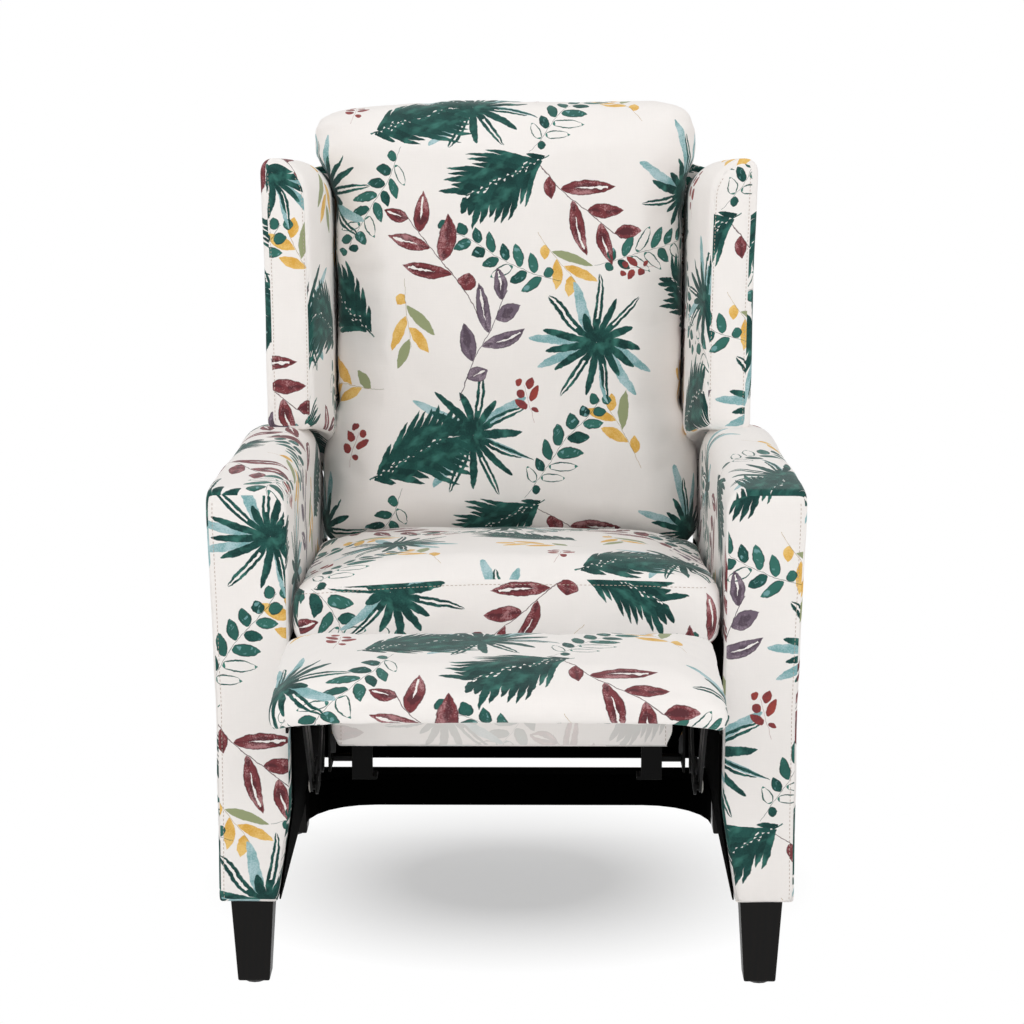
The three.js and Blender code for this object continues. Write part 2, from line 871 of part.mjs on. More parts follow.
function footPad() {
  const pad = stuffed({
    x: [-footHalf, footHalf],
    y: [footFront, footRear],
    z: [footBottom, footBottom + footThickness],
    cells: [12, 8, 4],
    round: footRound,
    crown: footCrown,
    crowned: ['top'],
    drawn: footDrawn,
  });
  const position = pad.attributes.position;
  for (let k = 0; k < position.count; k += 1) {
    const across = Math.abs(position.getX(k)) / footHalf;
    const forward = (footRear - position.getY(k)) / (footRear - footFront);
    position.setZ(k, position.getZ(k) - footEar * across ** 4 * forward ** 2);
  }
  const flatHalf = footLayer[1] + pivotOverhang + touchGap;
  const underside = block(
    [-flatHalf, flatHalf],
    [footFront - cutOverrun, footRear + cutOverrun],
    [footBottom - footEar - cutOverrun, footBottom],
  );
  return cut(pad, underside, footBoard(touchGap));
}

placePair(chair, 'footrest_bracket', footBracket(), blackSteel);
place(chair, 'footrest_board', footBoard(0), frameWood());
place(chair, 'footrest_pad', footPad(), printedFabric());

// Back frame, in the back's own upright frame
const frameFront = touchGap;
const frameRear = frameFront + frameDepth;
const postOuterHalf = linkLayer[0] - touchGap;
const postInner = postOuterHalf - postWidth;
const backRailHalf = postInner - touchGap;

function backPost() {
  return block([postInner, postOuterHalf], [frameFront, frameRear], [postBottom, postTop]);
}

function backRail(z) {
  return block([-backRailHalf, backRailHalf], [frameFront, frameRear], [z, z + backRailHeight]);
}

placePair(back, 'back_post', backPost(), frameWood);
place(back, 'back_bottom_rail', backRail(postBottom), frameWood());
place(back, 'back_top_rail', backRail(postTop - backRailHeight), frameWood());

// Hinge plates on the posts
function backPlate() {
  const strap = block(
    linkLayer,
    [frameFront, frameFront + backPlateWidth],
    [0, backPlateHeight],
  );
  const ear = flatBar([0, 0], [backPlateWidth / 2, postBottom], backPivotLobe, ...linkLayer);
  return cut(join(strap, ear), holeThrough([0, 0], linkLayer));
}

placePair(back, 'back_hinge_plate', backPlate(), blackSteel);

// Back cushion: the long pad, wider below the wings, and the wide head roll over them
function spreadAt(z) {
  const share = (backPadWaist - z) / (backPadWaist - backPadSpreadTop);
  return backPadSpread * THREE.MathUtils.smoothstep(share, 0, 1);
}

function backCushion() {
  const pad = stuffed({
    x: [-backPadHalf, backPadHalf],
    y: [backPadFront, 0],
    z: [backPadBottom, backPadTop],
    cells: [10, 5, 12],
    round: backPadRound,
    crown: backPadCrown,
    crowned: ['front'],
    drawn: backPadDrawn,
  });
  const position = pad.attributes.position;
  for (let k = 0; k < position.count; k += 1) {
    const across = position.getX(k) / backPadHalf;
    position.setX(k, position.getX(k) + across * spreadAt(position.getZ(k)));
  }
  const head = stuffed({
    x: [-headHalf, headHalf],
    y: [backPadFront, headRear],
    z: [headBottom, headTop],
    cells: [10, 6, 6],
    round: headRound,
    crown: headCrown,
    crowned: ['top', 'front'],
    drawn: 0,
  });
  return join(pad, head);
}

place(back, 'back_cushion', backCushion(), printedFabric());

// Wings: thick at the root, thin at the front edge, with rounded corners
function wingFrontAt(z) {
  const share = (z - wingBottom) / (wingTop - wingBottom);
  return wingFront - wingRake * (1 - share);
}

function wingOuterAt(z) {
  const share = (z - wingBottom) / (wingTop - wingBottom);
  return wingOuterHalf + wingSplay * share;
}

function wingRing(z, inset, setback) {
  const front = wingFrontAt(z) + setback;
  const outer = wingOuterAt(z) - inset;
  const thin = wingOuterAt(z) - wingFrontThickness + inset;
  const root = wingInnerHalf + inset;
  const rear = frameRear - (inset > 0 ? touchGap : 0);
  const edge = wingEdgeInset;
  const shares = [0.35, 0.75];
  const points = [
    [outer, rear],
    [root, rear],
    [root, front + wingFlare],
    [root + (thin - root) * shares[0], front + wingFlare * (1 - shares[0])],
    [root + (thin - root) * shares[1], front + wingFlare * (1 - shares[1])],
    [thin, front + edge],
    [thin + edge, front],
    [outer - edge, front],
    [outer, front + edge],
  ];
  return points.map(([x, y]) => new THREE.Vector3(x, y, z));
}

function wing() {
  const rings = [];
  const cornerSteps = 4;
  for (let k = 0; k <= cornerSteps; k += 1) {
    const turn = (k / cornerSteps) * (Math.PI / 2);
    const height = wingBottom + wingBottomRound * (1 - Math.cos(turn));
    const inset = wingEdgeInset * (1 - Math.sin(turn));
    rings.push(wingRing(height, inset, wingBottomRound * (1 - Math.sin(turn))));
  }
  rings.push(wingRing((wingBottom + wingTop) / 2, 0, 0));
  for (let k = 0; k <= cornerSteps; k += 1) {
    const turn = (k / cornerSteps) * (Math.PI / 2);
    const height = wingTop - wingTopRound * (1 - Math.sin(turn));
    const inset = wingEdgeInset * (1 - Math.cos(turn));
    rings.push(wingRing(height, inset, wingTopRound * (1 - Math.cos(turn))));
  }
  return cut(loft(rings), wingPanel(touchGap, cutOverrun));
}

function wingPanel(gap, overrun) {
  const middle = wingOuterHalf - wingFrontThickness / 2;
  const half = wingPanelThickness / 2 + gap;
  const front = wingFront + wingPanelMargin - gap;
  const bottom = wingBottom + wingPanelMargin - gap;
  const top = wingTop - wingPanelMargin - wingTopRound / 2 + gap;
  return block([middle - half, middle + half], [front, frameRear + overrun], [bottom, top]);
}

placePair(back, 'wing_cover', wing(), printedFabric);
placePair(back, 'wing_panel', wingPanel(0, 0), frameWood);

// Outside back: behind the wings and the head roll, and narrow between the arms
const outsideFront = frameRear + touchGap;
const outsideRear = outsideFront + outsideThickness;

function outsideUpper() {
  const low = wingOuterHalf - wingEdgeInset;
  const high = wingOuterAt(wingTop) - wingEdgeInset;
  const narrow = headHalf - headRound / 2;
  const top = headTop - headRound / 2;
  const side = [[low, wingBottom], [high, wingTop], [narrow, wingTop], [narrow, top]];
  const otherSide = side.map(([x, z]) => [-x, z]).reverse();
  return slabAlongY([...side, ...otherSide], outsideFront, outsideRear);
}

function outsideLower() {
  const top = wingBottom - touchGap;
  return block([-postOuterHalf, postOuterHalf], [outsideFront, outsideRear], [outsideLowerBottom, top]);
}

place(back, 'outside_back_upper', outsideUpper(), printedFabric());
place(back, 'outside_back_lower', outsideLower(), printedFabric());

// The origin is at the middle of the chair's box, on the floor
const extent = new THREE.Box3().setFromObject(chair);
chair.position.y = -(extent.min.y + extent.max.y) / 2;
chair.updateMatrixWorld(true);

export default chair;
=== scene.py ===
from math import cos, pi, radians, sin

import bmesh
import bpy
import numpy as np
from mathutils import Matrix, Vector, noise
from mathutils.bvhtree import BVHTree


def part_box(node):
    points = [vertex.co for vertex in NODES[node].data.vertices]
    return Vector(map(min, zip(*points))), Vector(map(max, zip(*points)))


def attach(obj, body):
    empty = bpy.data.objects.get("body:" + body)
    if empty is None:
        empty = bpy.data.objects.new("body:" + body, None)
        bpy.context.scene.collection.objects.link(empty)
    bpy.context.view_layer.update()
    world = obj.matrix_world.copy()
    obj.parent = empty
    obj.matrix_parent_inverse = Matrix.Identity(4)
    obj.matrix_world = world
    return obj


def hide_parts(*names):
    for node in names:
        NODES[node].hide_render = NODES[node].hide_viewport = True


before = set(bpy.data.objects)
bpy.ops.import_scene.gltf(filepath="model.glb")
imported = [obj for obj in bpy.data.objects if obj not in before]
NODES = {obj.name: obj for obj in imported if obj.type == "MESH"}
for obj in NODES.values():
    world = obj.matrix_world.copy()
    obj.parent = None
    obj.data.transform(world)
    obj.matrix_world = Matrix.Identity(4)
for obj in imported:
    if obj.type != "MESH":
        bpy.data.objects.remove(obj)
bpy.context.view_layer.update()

MM = 0.001

# Camera, matched to the photograph: a long lens a little above the arms, tilted down
CAMERA_PLACE = (0.027, -3.462, 1.225)
CAMERA_TILT = 11.0
CAMERA_YAW = 0.355
FOCAL_PX = 2905.0
IMAGE_PX = 1024.0
SENSOR_MM = 36.0

# The chair's own drawing: millimetres, y = 0 at the arms' front faces, z = 0 on the floor
ARM_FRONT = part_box("arm_cover_right")[0][1]
BACK_PIVOT = (560.0, 330.0)
BACK_LEAN = 7.0


def chair_matrix():
    return Matrix.Translation((0.0, ARM_FRONT, 0.0)) @ Matrix.Scale(MM, 4)


def back_matrix():
    """The back is drawn upright from its pivot and then leaned."""
    pivot = Matrix.Translation((0.0, *BACK_PIVOT))
    return chair_matrix() @ pivot @ Matrix.Rotation(-radians(BACK_LEAN), 4, "X")


# Node graphs
class Signal:
    """A shader value that is added, multiplied or compared by making a math node."""

    def __init__(self, graph, socket):
        self.graph = graph
        self.socket = socket

    def __abs__(self):
        return self.graph.math("ABSOLUTE", self)


def operator(operation, swapped=False):
    def method(self, other):
        values = (other, self) if swapped else (self, other)
        return self.graph.math(operation, *values)
    return method


for sign, operation in (("add", "ADD"), ("sub", "SUBTRACT"), ("mul", "MULTIPLY"), ("truediv", "DIVIDE"),
                        ("pow", "POWER"), ("gt", "GREATER_THAN"), ("lt", "LESS_THAN")):
    setattr(Signal, f"__{sign}__", operator(operation))
Signal.__rsub__ = operator("SUBTRACT", swapped=True)


class Graph:
    """Short names for making and joining shader nodes in one tree."""

    def __init__(self, tree):
        self.tree = tree

    def add(self, kind, **settings):
        node = self.tree.nodes.new(kind)
        for key, value in settings.items():
            setattr(node, key, value)
        return node

    def put(self, socket, value):
        value = getattr(value, "socket", value)
        if isinstance(value, bpy.types.NodeSocket):
            self.tree.links.new(value, socket)
        else:
            socket.default_value = value

    def fill(self, sockets, values):
        for name, value in values.items():
            self.put(sockets[name.replace("_", " ")], value)

    def result(self, kind, values, output=0, **settings):
        """One output of a new node whose first inputs take the values."""
        node = self.add(kind, **settings)
        for socket, value in zip(node.inputs, values):
            self.put(socket, value)
        return Signal(self, node.outputs[output])

    def named(self, sockets):
        return {socket.name: Signal(self, socket) for socket in sockets}

    def math(self, operation, *values):
        return self.result("ShaderNodeMath", values, operation=operation)

    def larger(self, first, second):
        return self.math("MAXIMUM", first, second)

    def vector(self, operation, *values):
        measured = operation in ("LENGTH", "DOT_PRODUCT")
        output = "Value" if measured else "Vector"
        return self.result("ShaderNodeVectorMath", values, output, operation=operation)

    def scaled(self, vector, scale):
        node = self.add("ShaderNodeVectorMath", operation="SCALE")
        self.fill(node.inputs, {"Vector": vector, "Scale": scale})
        return Signal(self, node.outputs["Vector"])

    def split(self, vector):
        node = self.add("ShaderNodeSeparateXYZ")
        self.put(node.inputs[0], vector)
        return [Signal(self, socket) for socket in node.outputs]

    def joined(self, x, y, z=0.0):
        return self.result("ShaderNodeCombineXYZ", (x, y, z))

    def mix(self, share, first, second, kind="RGBA"):
        node = self.add("ShaderNodeMix", data_type=kind)
        low, high, out = {"RGBA": (6, 7, 2), "FLOAT": (2, 3, 0), "VECTOR": (4, 5, 1)}[kind]
        for index, value in ((0, share), (low, first), (high, second)):
            self.put(node.inputs[index], value)
        return Signal(self, node.outputs[out])

    def noise(self, vector, scale, detail=2.0, roughness=0.5, dimensions="3D", output="Fac"):
        node = self.add("ShaderNodeTexNoise", noise_dimensions=dimensions)
        values = {"Vector": vector, "Scale": scale, "Detail": detail, "Roughness": roughness}
        self.fill(node.inputs, values)
        return Signal(self, node.outputs[output])

    def streaks(self, vector, scales, detail=2.0, **settings):
        """Noise with a scale of its own along each axis."""
        return self.noise(self.vector("MULTIPLY", vector, scales), 1.0, detail, **settings)

    def random(self, vector):
        return self.result("ShaderNodeTexWhiteNoise", (vector,), "Value", noise_dimensions="2D")

    def spread(self, value, low, high, new_low=0.0, new_high=1.0):
        return self.result("ShaderNodeMapRange", (value, low, high, new_low, new_high), clamp=True)

    def use(self, group, **values):
        node = self.add("ShaderNodeGroup", node_tree=group)
        self.fill(node.inputs, values)
        return self.named(node.outputs)

    def bump(self, height, strength, distance, under=None):
        node = self.add("ShaderNodeBump")
        self.fill(node.inputs, {"Strength": strength, "Distance": distance, "Height": height})
        if under is not None:
            self.put(node.inputs["Normal"], under)
        return Signal(self, node.outputs[0])

    def object_place(self):
        return Signal(self, self.add("ShaderNodeTexCoord").outputs["Object"])

    def cloth_place(self, layer):
        return Signal(self, self.add("ShaderNodeUVMap", uv_map=layer).outputs[0])


KINDS = {"float": "NodeSocketFloat", "vector": "NodeSocketVector", "color": "NodeSocketColor"}
VECTOR = {"Vector": "vector"}


def values(*names):
    return dict.fromkeys(names, "float")


def colors(*names):
    return dict.fromkeys(names, "color")


def shader_group(name, inputs, outputs):
    """Makes a node group out of a function: draw(g, given) returns the outputs in order."""
    def build(draw):
        tree = bpy.data.node_groups.new(name, "ShaderNodeTree")
        for in_out, labels in (("INPUT", inputs), ("OUTPUT", outputs)):
            for label, kind in labels.items():
                tree.interface.new_socket(label, in_out=in_out, socket_type=KINDS[kind])
        g = Graph(tree)
        given = g.named(g.add("NodeGroupInput").outputs)
        for socket, value in zip(g.add("NodeGroupOutput").inputs, draw(g, given)):
            g.put(socket, value)
        return tree
    return build


def finish(name):
    """Makes a material out of a function: draw(g) returns its shader's inputs by name."""
    def build(draw):
        material = bpy.data.materials.new(name)
        material.use_nodes = True
        tree = material.node_tree
        tree.nodes.clear()
        g = Graph(tree)
        shader = g.add("ShaderNodeBsdfPrincipled")
        output = g.add("ShaderNodeOutputMaterial")
        tree.links.new(shader.outputs[0], output.inputs["Surface"])
        g.fill(shader.inputs, draw(g))
        return material
    return build


def srgb(red, green, blue):
    return tuple((value / 255.0) ** 2.2 for value in (red, green, blue)) + (1.0,)


# Print: painted leaves on a pale ground, drawn from cloth coordinates in metres
GROUND = srgb(247, 242, 238)
DEEP_TEAL = srgb(20, 56, 54)
TEAL = srgb(36, 84, 78)
MID_TEAL = srgb(66, 126, 114)
SEA_BLUE = srgb(120, 168, 170)
PALE_BLUE = srgb(178, 206, 210)
PLUM = srgb(64, 38, 44)
WINE = srgb(122, 60, 64)
ROSE = srgb(178, 128, 130)
BRICK = srgb(160, 70, 62)
DUSK = srgb(66, 54, 64)
MAUVE = srgb(112, 98, 112)
LILAC = srgb(150, 134, 146)
MUSTARD = srgb(222, 168, 74)
PALE_MUSTARD = srgb(240, 200, 120)
SAGE = srgb(152, 160, 120)
TWIG = srgb(110, 96, 60)
PAINT_EDGE = 0.0006
TINY = 1e-5
LEAF_SIZES = ("Pitch", "Slant", "Leaf Length", "Leaf Width", "Bluntness", "Sharpness", "Stem Length",
              "Stem Width", "Start", "Seed")
LEFT_SEED = 17.0


@shader_group("feathered_leaves", VECTOR | values(*LEAF_SIZES),
              values("Leaf", "Stem", "Across", "Along", "Random"))
def FEATHERED(g, given):
    """Leaves set in pairs along a stem that runs up local y."""
    x, y, _ = g.split(given["Vector"])
    reach = abs(x)
    left = x < 0.0
    pitch = given["Pitch"]
    slant_sine = g.math("SINE", given["Slant"])
    slant_cosine = g.math("COSINE", given["Slant"])
    shift = left * pitch * 0.5
    level = y - reach * (slant_cosine / slant_sine) - shift
    count = g.math("ROUND", level / pitch)
    rest = level - count * pitch
    across = abs(rest * slant_sine)
    along = reach / slant_sine + rest * slant_cosine - given["Start"]
    place_share = (count * pitch + shift) / given["Stem Length"]
    chance = g.random(g.joined(count * 1.37, given["Seed"] + left * LEFT_SEED))
    swell = g.math("SINE", g.spread(place_share, 0.0, 1.0) ** 0.65 * pi) * 0.55 + 0.45
    length = given["Leaf Length"] * swell * (chance * 0.45 + 0.72)
    inside = g.spread(along / length, 0.0, 1.0)
    width = inside ** given["Bluntness"] * (1.0 - inside) ** given["Sharpness"] * given["Leaf Width"]
    leaf = g.spread(width - across, 0.0, PAINT_EDGE) * ((place_share > -0.02) * (place_share < 1.02))
    stem = g.spread(given["Stem Width"] - reach, 0.0, PAINT_EDGE)
    stem = stem * ((y > pitch * -0.7) * (y < given["Stem Length"]))
    return leaf, stem, across / g.larger(width, TINY), inside, chance


@shader_group("leaf_rosette", VECTOR | values("Blades", "Radius", "Blade Width", "Seed"),
              values("Blade", "Across", "Along", "Random"))
def ROSETTE(g, given):
    """Blades spread round a centre, each with its own length."""
    x, y, _ = g.split(given["Vector"])
    turn = g.math("ARCTAN2", x, y) / (2.0 * pi) * given["Blades"]
    count = g.math("FLOOR", turn)
    radius = g.vector("LENGTH", given["Vector"])
    chance = g.random(g.joined(count * 2.11, given["Seed"]))
    length = given["Radius"] * (chance * 0.55 + 0.45)
    inside = g.spread(radius / length, 0.0, 1.0)
    across = abs(turn - count - 0.5) * (radius * (2.0 * pi) / given["Blades"])
    width = inside ** 0.55 * (1.0 - inside) ** 0.5 * given["Blade Width"]
    return g.spread(width - across, 0.0, PAINT_EDGE), across / g.larger(width, TINY), inside, chance


LEAF_INPUTS = VECTOR | values("Seed", "Wash")
LEAF_OUTPUTS = values("Mask") | colors("Color")


def painted(g, dark, light, wash, low=0.32, high=0.68):
    """A watercolour wash between two paints."""
    return g.mix(g.spread(wash, low, high), dark, light)


def brushed_over(g, color, place, scales):
    """Lighter strokes laid over dark paint."""
    return g.mix(g.spread(g.streaks(place, scales), 0.50, 0.70) * 0.75, color, MID_TEAL)


@shader_group("plume_leaf", LEAF_INPUTS, LEAF_OUTPUTS)
def PLUME(g, given):
    """A dense dark leaf whose narrow leaflets run together at the rib."""
    place = given["Vector"]
    leaf = g.use(FEATHERED, Vector=place, Seed=given["Seed"], Pitch=0.0100, Slant=0.72,
                 Leaf_Length=0.064, Leaf_Width=0.0076, Bluntness=0.10, Sharpness=0.62,
                 Stem_Length=0.094, Stem_Width=0.0011, Start=0.0)
    rib = (leaf["Along"] < 0.10) * (g.streaks(place, (260.0, 60.0, 0.0), 1.0) < 0.36)
    shade = leaf["Random"] * 0.34 + given["Wash"] * 0.8
    color = brushed_over(g, painted(g, DEEP_TEAL, TEAL, shade, 0.35, 0.85), place, (95.0, 45.0, 0.0))
    return g.larger(leaf["Leaf"] * (1.0 - rib), leaf["Stem"]), color


@shader_group("blade_burst", LEAF_INPUTS, LEAF_OUTPUTS)
def BURST(g, given):
    """Broad brushed blades round a centre, some dark, some pale."""
    place, seed, wash = given["Vector"], given["Seed"], given["Wash"]
    under = g.use(ROSETTE, Vector=place, Blades=13.0, Radius=0.086, Blade_Width=0.0120, Seed=seed + 5.0)
    over = g.use(ROSETTE, Vector=place, Blades=15.0, Radius=0.078, Blade_Width=0.0096, Seed=seed)
    dark = brushed_over(g, painted(g, DEEP_TEAL, TEAL, wash, 0.3, 0.75), place, (70.0, 70.0, 0.0))
    hollow = (over["Across"] < 0.24) * (over["Random"] > 0.62) * (over["Along"] > 0.35)
    solid = over["Blade"] * (1.0 - hollow)
    soft = under["Blade"] * (under["Random"] > 0.58)
    return g.larger(solid, soft), g.mix(solid, painted(g, SEA_BLUE, PALE_BLUE, wash), dark)


@shader_group("lance_spray", LEAF_INPUTS | colors("Dark", "Middle", "Light"), LEAF_OUTPUTS)
def SPRAY(g, given):
    """Lance leaves on a thin stem, some of them open along the middle."""
    place = given["Vector"]
    leaf = g.use(FEATHERED, Vector=place, Seed=given["Seed"], Pitch=0.040, Slant=0.70,
                 Leaf_Length=0.060, Leaf_Width=0.0280, Bluntness=0.75, Sharpness=0.95,
                 Stem_Length=0.112, Stem_Width=0.0007, Start=0.001)
    across, along = leaf["Across"], leaf["Along"]
    opening = across < g.noise(place, 150.0) * (along * 0.75) - 0.08
    hollow = opening * ((along > 0.28) * (along < 0.86)) * (leaf["Random"] > 0.42)
    core = g.spread(g.noise(place, 62.0) - across * 0.35, 0.36, 0.46)
    dark = g.larger(g.larger(g.spread(across, 0.74, 0.96) * 0.75, core * 0.62), leaf["Stem"])
    body = g.mix(g.spread(given["Wash"], 0.50, 0.68), given["Middle"], given["Light"])
    return g.larger(leaf["Leaf"] * (1.0 - hollow), leaf["Stem"]), g.mix(dark, body, given["Dark"])


@shader_group("oval_sprig", LEAF_INPUTS, LEAF_OUTPUTS)
def SPRIG(g, given):
    """Small oval leaves up a fine stem, some of them only outlined."""
    place = given["Vector"]
    leaf = g.use(FEATHERED, Vector=place, Seed=given["Seed"], Pitch=0.0185, Slant=0.95,
                 Leaf_Length=0.029, Leaf_Width=0.0165, Bluntness=0.60, Sharpness=0.80,
                 Stem_Length=0.128, Stem_Width=0.0005, Start=0.0015)
    across, along = leaf["Across"], leaf["Along"]
    outlined = (leaf["Random"] > 0.78) * (across < 0.72)
    hollow = outlined * ((along < 0.90) * (along > 0.10))
    glint = g.spread(g.streaks(place, (170.0, 90.0, 0.0)), 0.58, 0.64) * (across < 0.55)
    body = g.mix(leaf["Random"], painted(g, DEEP_TEAL, TEAL, given["Wash"], 0.3, 0.62), MID_TEAL)
    body = g.mix(glint * 0.8, body, SEA_BLUE)
    mask = g.larger(leaf["Leaf"] * (1.0 - hollow), leaf["Stem"])
    return mask, g.mix(g.spread(across, 0.70, 0.92), body, DEEP_TEAL)


@shader_group("gold_leaves", LEAF_INPUTS, LEAF_OUTPUTS)
def GOLD(g, given):
    """Loose mustard and sage leaves."""
    leaf = g.use(FEATHERED, Vector=given["Vector"], Seed=given["Seed"], Pitch=0.026, Slant=0.62,
                 Leaf_Length=0.048, Leaf_Width=0.0230, Bluntness=0.85, Sharpness=0.95,
                 Stem_Length=0.062, Stem_Width=0.0005, Start=0.001)
    body = g.mix(leaf["Random"] > 0.62, painted(g, MUSTARD, PALE_MUSTARD, given["Wash"]), SAGE)
    return g.larger(leaf["Leaf"], leaf["Stem"]), g.mix(leaf["Stem"], body, TWIG)


@shader_group("bud_cluster", LEAF_INPUTS, LEAF_OUTPUTS)
def BUD(g, given):
    """A few small wine-red buds on threads."""
    bud = g.use(FEATHERED, Vector=given["Vector"], Seed=given["Seed"], Pitch=0.0135, Slant=0.80,
                Leaf_Length=0.0165, Leaf_Width=0.0110, Bluntness=0.5, Sharpness=0.7,
                Stem_Length=0.034, Stem_Width=0.0004, Start=0.004)
    return g.larger(bud["Leaf"], bud["Stem"]), painted(g, WINE, BRICK, given["Wash"])


# One repeat of the print, and how large the cloth coordinates are in it
REPEAT = (0.44, 0.39)
PRINT_SCALE = 0.86
# Layers from the lowest up: the leaf, how far below its place it starts, its paints, and its places
# in one repeat as shares of the width and height, a turn in degrees and a seed
MAUVE_PAINTS = {"Dark": DUSK, "Middle": MAUVE, "Light": LILAC}
WINE_PAINTS = {"Dark": PLUM, "Middle": WINE, "Light": ROSE}
PRINT_LAYERS = (
    (GOLD, 0.030, {}, ((0.28, 0.40, -150.0, 2.0), (0.72, 0.06, 84.0, 4.0), (0.44, 0.92, 28.0, 8.0),
                       (0.90, 0.24, 190.0, 5.0))),
    (SPRIG, 0.064, {}, ((0.30, 0.88, -38.0, 1.0), (0.80, 0.58, 150.0, 2.0), (0.12, 0.42, 64.0, 7.0),
                        (0.54, 0.44, -74.0, 9.0))),
    (BURST, 0.0, {}, ((0.38, 0.17, 12.0, 4.0), (0.64, 0.62, 140.0, 6.0), (0.06, 0.90, 75.0, 8.0))),
    (SPRAY, 0.058, MAUVE_PAINTS, ((0.10, 0.20, -22.0, 3.0),)),
    (SPRAY, 0.058, WINE_PAINTS, ((0.36, 0.56, -128.0, 1.0), (0.96, 0.44, 34.0, 5.0))),
    (PLUME, 0.052, {}, ((0.13, 0.64, 118.0, 1.0), (0.70, 0.28, 52.0, 2.0), (0.92, 0.84, -64.0, 3.0))),
    (BUD, 0.018, {}, ((0.20, 0.02, 20.0, 1.0), (0.76, 0.88, -12.0, 3.0), (0.50, 0.38, 96.0, 6.0))),
)


def nearest_place(g, cloth, places):
    """Cloth coordinates taken from the nearest of the places, turned with it, and its seed."""
    half = (REPEAT[0] / 2.0, REPEAT[1] / 2.0, 1.0)
    best = None
    for across, up, turn, seed in places:
        centre = (across * REPEAT[0], up * REPEAT[1], 0.0)
        offset = g.vector("WRAP", g.vector("SUBTRACT", cloth, centre), half, tuple(-v for v in half))
        rotate = g.add("ShaderNodeVectorRotate", rotation_type="Z_AXIS")
        g.fill(rotate.inputs, {"Vector": offset, "Angle": radians(-turn)})
        turned = Signal(g, rotate.outputs[0])
        distance = g.vector("LENGTH", turned)
        if best is None:
            best = (turned, distance, seed)
            continue
        closer = distance < best[1]
        best = (
            g.mix(closer, best[0], turned, "VECTOR"),
            g.math("MINIMUM", distance, best[1]),
            g.mix(closer, best[2], seed, "FLOAT"),
        )
    return best[0], best[2]


def moved_by_noise(g, vector, scale, detail, distance):
    """How far a wandering hand has moved each place of the print."""
    wander = g.noise(vector, scale, detail, dimensions="2D", output="Color")
    return g.scaled(g.vector("SUBTRACT", wander, (0.5, 0.5, 0.5)), distance)


@shader_group("leaf_print", VECTOR, colors("Color") | values("Paint"))
def LEAF_PRINT(g, given):
    """The whole print, and how much paint covers the ground."""
    plain = given["Vector"]
    cloth = g.scaled(plain, PRINT_SCALE)
    bend = moved_by_noise(g, cloth, 9.0, 1.0, 0.026)
    ragged = moved_by_noise(g, cloth, 130.0, 2.0, 0.0026)
    cloth = g.vector("ADD", g.vector("ADD", cloth, bend), ragged)
    cloth = g.vector("MULTIPLY", cloth, (1.0, 1.0, 0.0))
    grain = g.noise(plain, 520.0, 1.0, dimensions="2D")
    wash = (grain - 0.5) * 0.45 + g.noise(plain, 45.0, 4.0, 0.6, dimensions="2D")
    color = GROUND
    paint = 0.0
    for group, below, paints, places in PRINT_LAYERS:
        local, seed = nearest_place(g, cloth, places)
        local = g.vector("SUBTRACT", local, (0.0, -below, 0.0))
        made = g.use(group, Vector=local, Seed=seed, Wash=wash, **paints)
        color = g.mix(made["Mask"], color, made["Color"])
        paint = g.larger(made["Mask"], paint)
    return color, paint


WEAVE_PITCH = 0.0011
SLUB_SCALES = (40.0, 900.0)


@shader_group("linen_weave", VECTOR, values("Height", "Tone"))
def LINEN(g, given):
    """Plain weave with slubs, from cloth coordinates in metres."""
    cloth = given["Vector"]
    x, y, _ = g.split(cloth)
    turn = 2.0 * pi / WEAVE_PITCH
    over = g.math("SINE", x * turn) * g.math("SINE", y * turn)
    slub = g.streaks(cloth, (*SLUB_SCALES, 0.0)) + g.streaks(cloth, (*SLUB_SCALES[::-1], 0.0))
    soft = g.noise(cloth, 14.0, 3.0)
    return over * 0.3 + slub, slub * 0.18 + (soft * 0.3 + 0.17)


CLOTH_UV = "print"
SEAM_UV = "seam"
CREASE_WIDTH = 1.6 * MM
CREASE_DEPTH_SHARE = 0.9
CREASE_SHADE = 0.35
PUCKER_REACH = 24.0 * MM
PUCKER_SCALE = 85.0


@shader_group("sewn_edge", VECTOR | values("Distance"), values("Height", "Crease"))
def SEWN_EDGE(g, given):
    """A crease at a seam and small puckers beside it, from the distance to the seam; the crease mask is also
    put out as painted shade for the cloth's colour.
    """
    crease = 1.0 - g.spread(given["Distance"], 0.0, CREASE_WIDTH)
    near = 1.0 - g.spread(given["Distance"], 0.0, PUCKER_REACH)
    pucker = g.noise(given["Vector"], PUCKER_SCALE, 1.0, dimensions="2D") - 0.5
    return crease * -CREASE_DEPTH_SHARE + near * near * pucker, crease


@shader_group("soft_folds", VECTOR, values("Height"))
def SOFT_FOLDS(g, given):
    """Low wandering folds of a loosely stretched cloth."""
    wander = g.noise(given["Vector"], 5.0, dimensions="2D", output="Color")
    moved = g.vector("ADD", given["Vector"], g.scaled(wander, 0.12))
    fold = g.streaks(moved, (16.0, 7.0, 0.0), roughness=0.45, dimensions="2D")
    return (fold ** 1.5,)


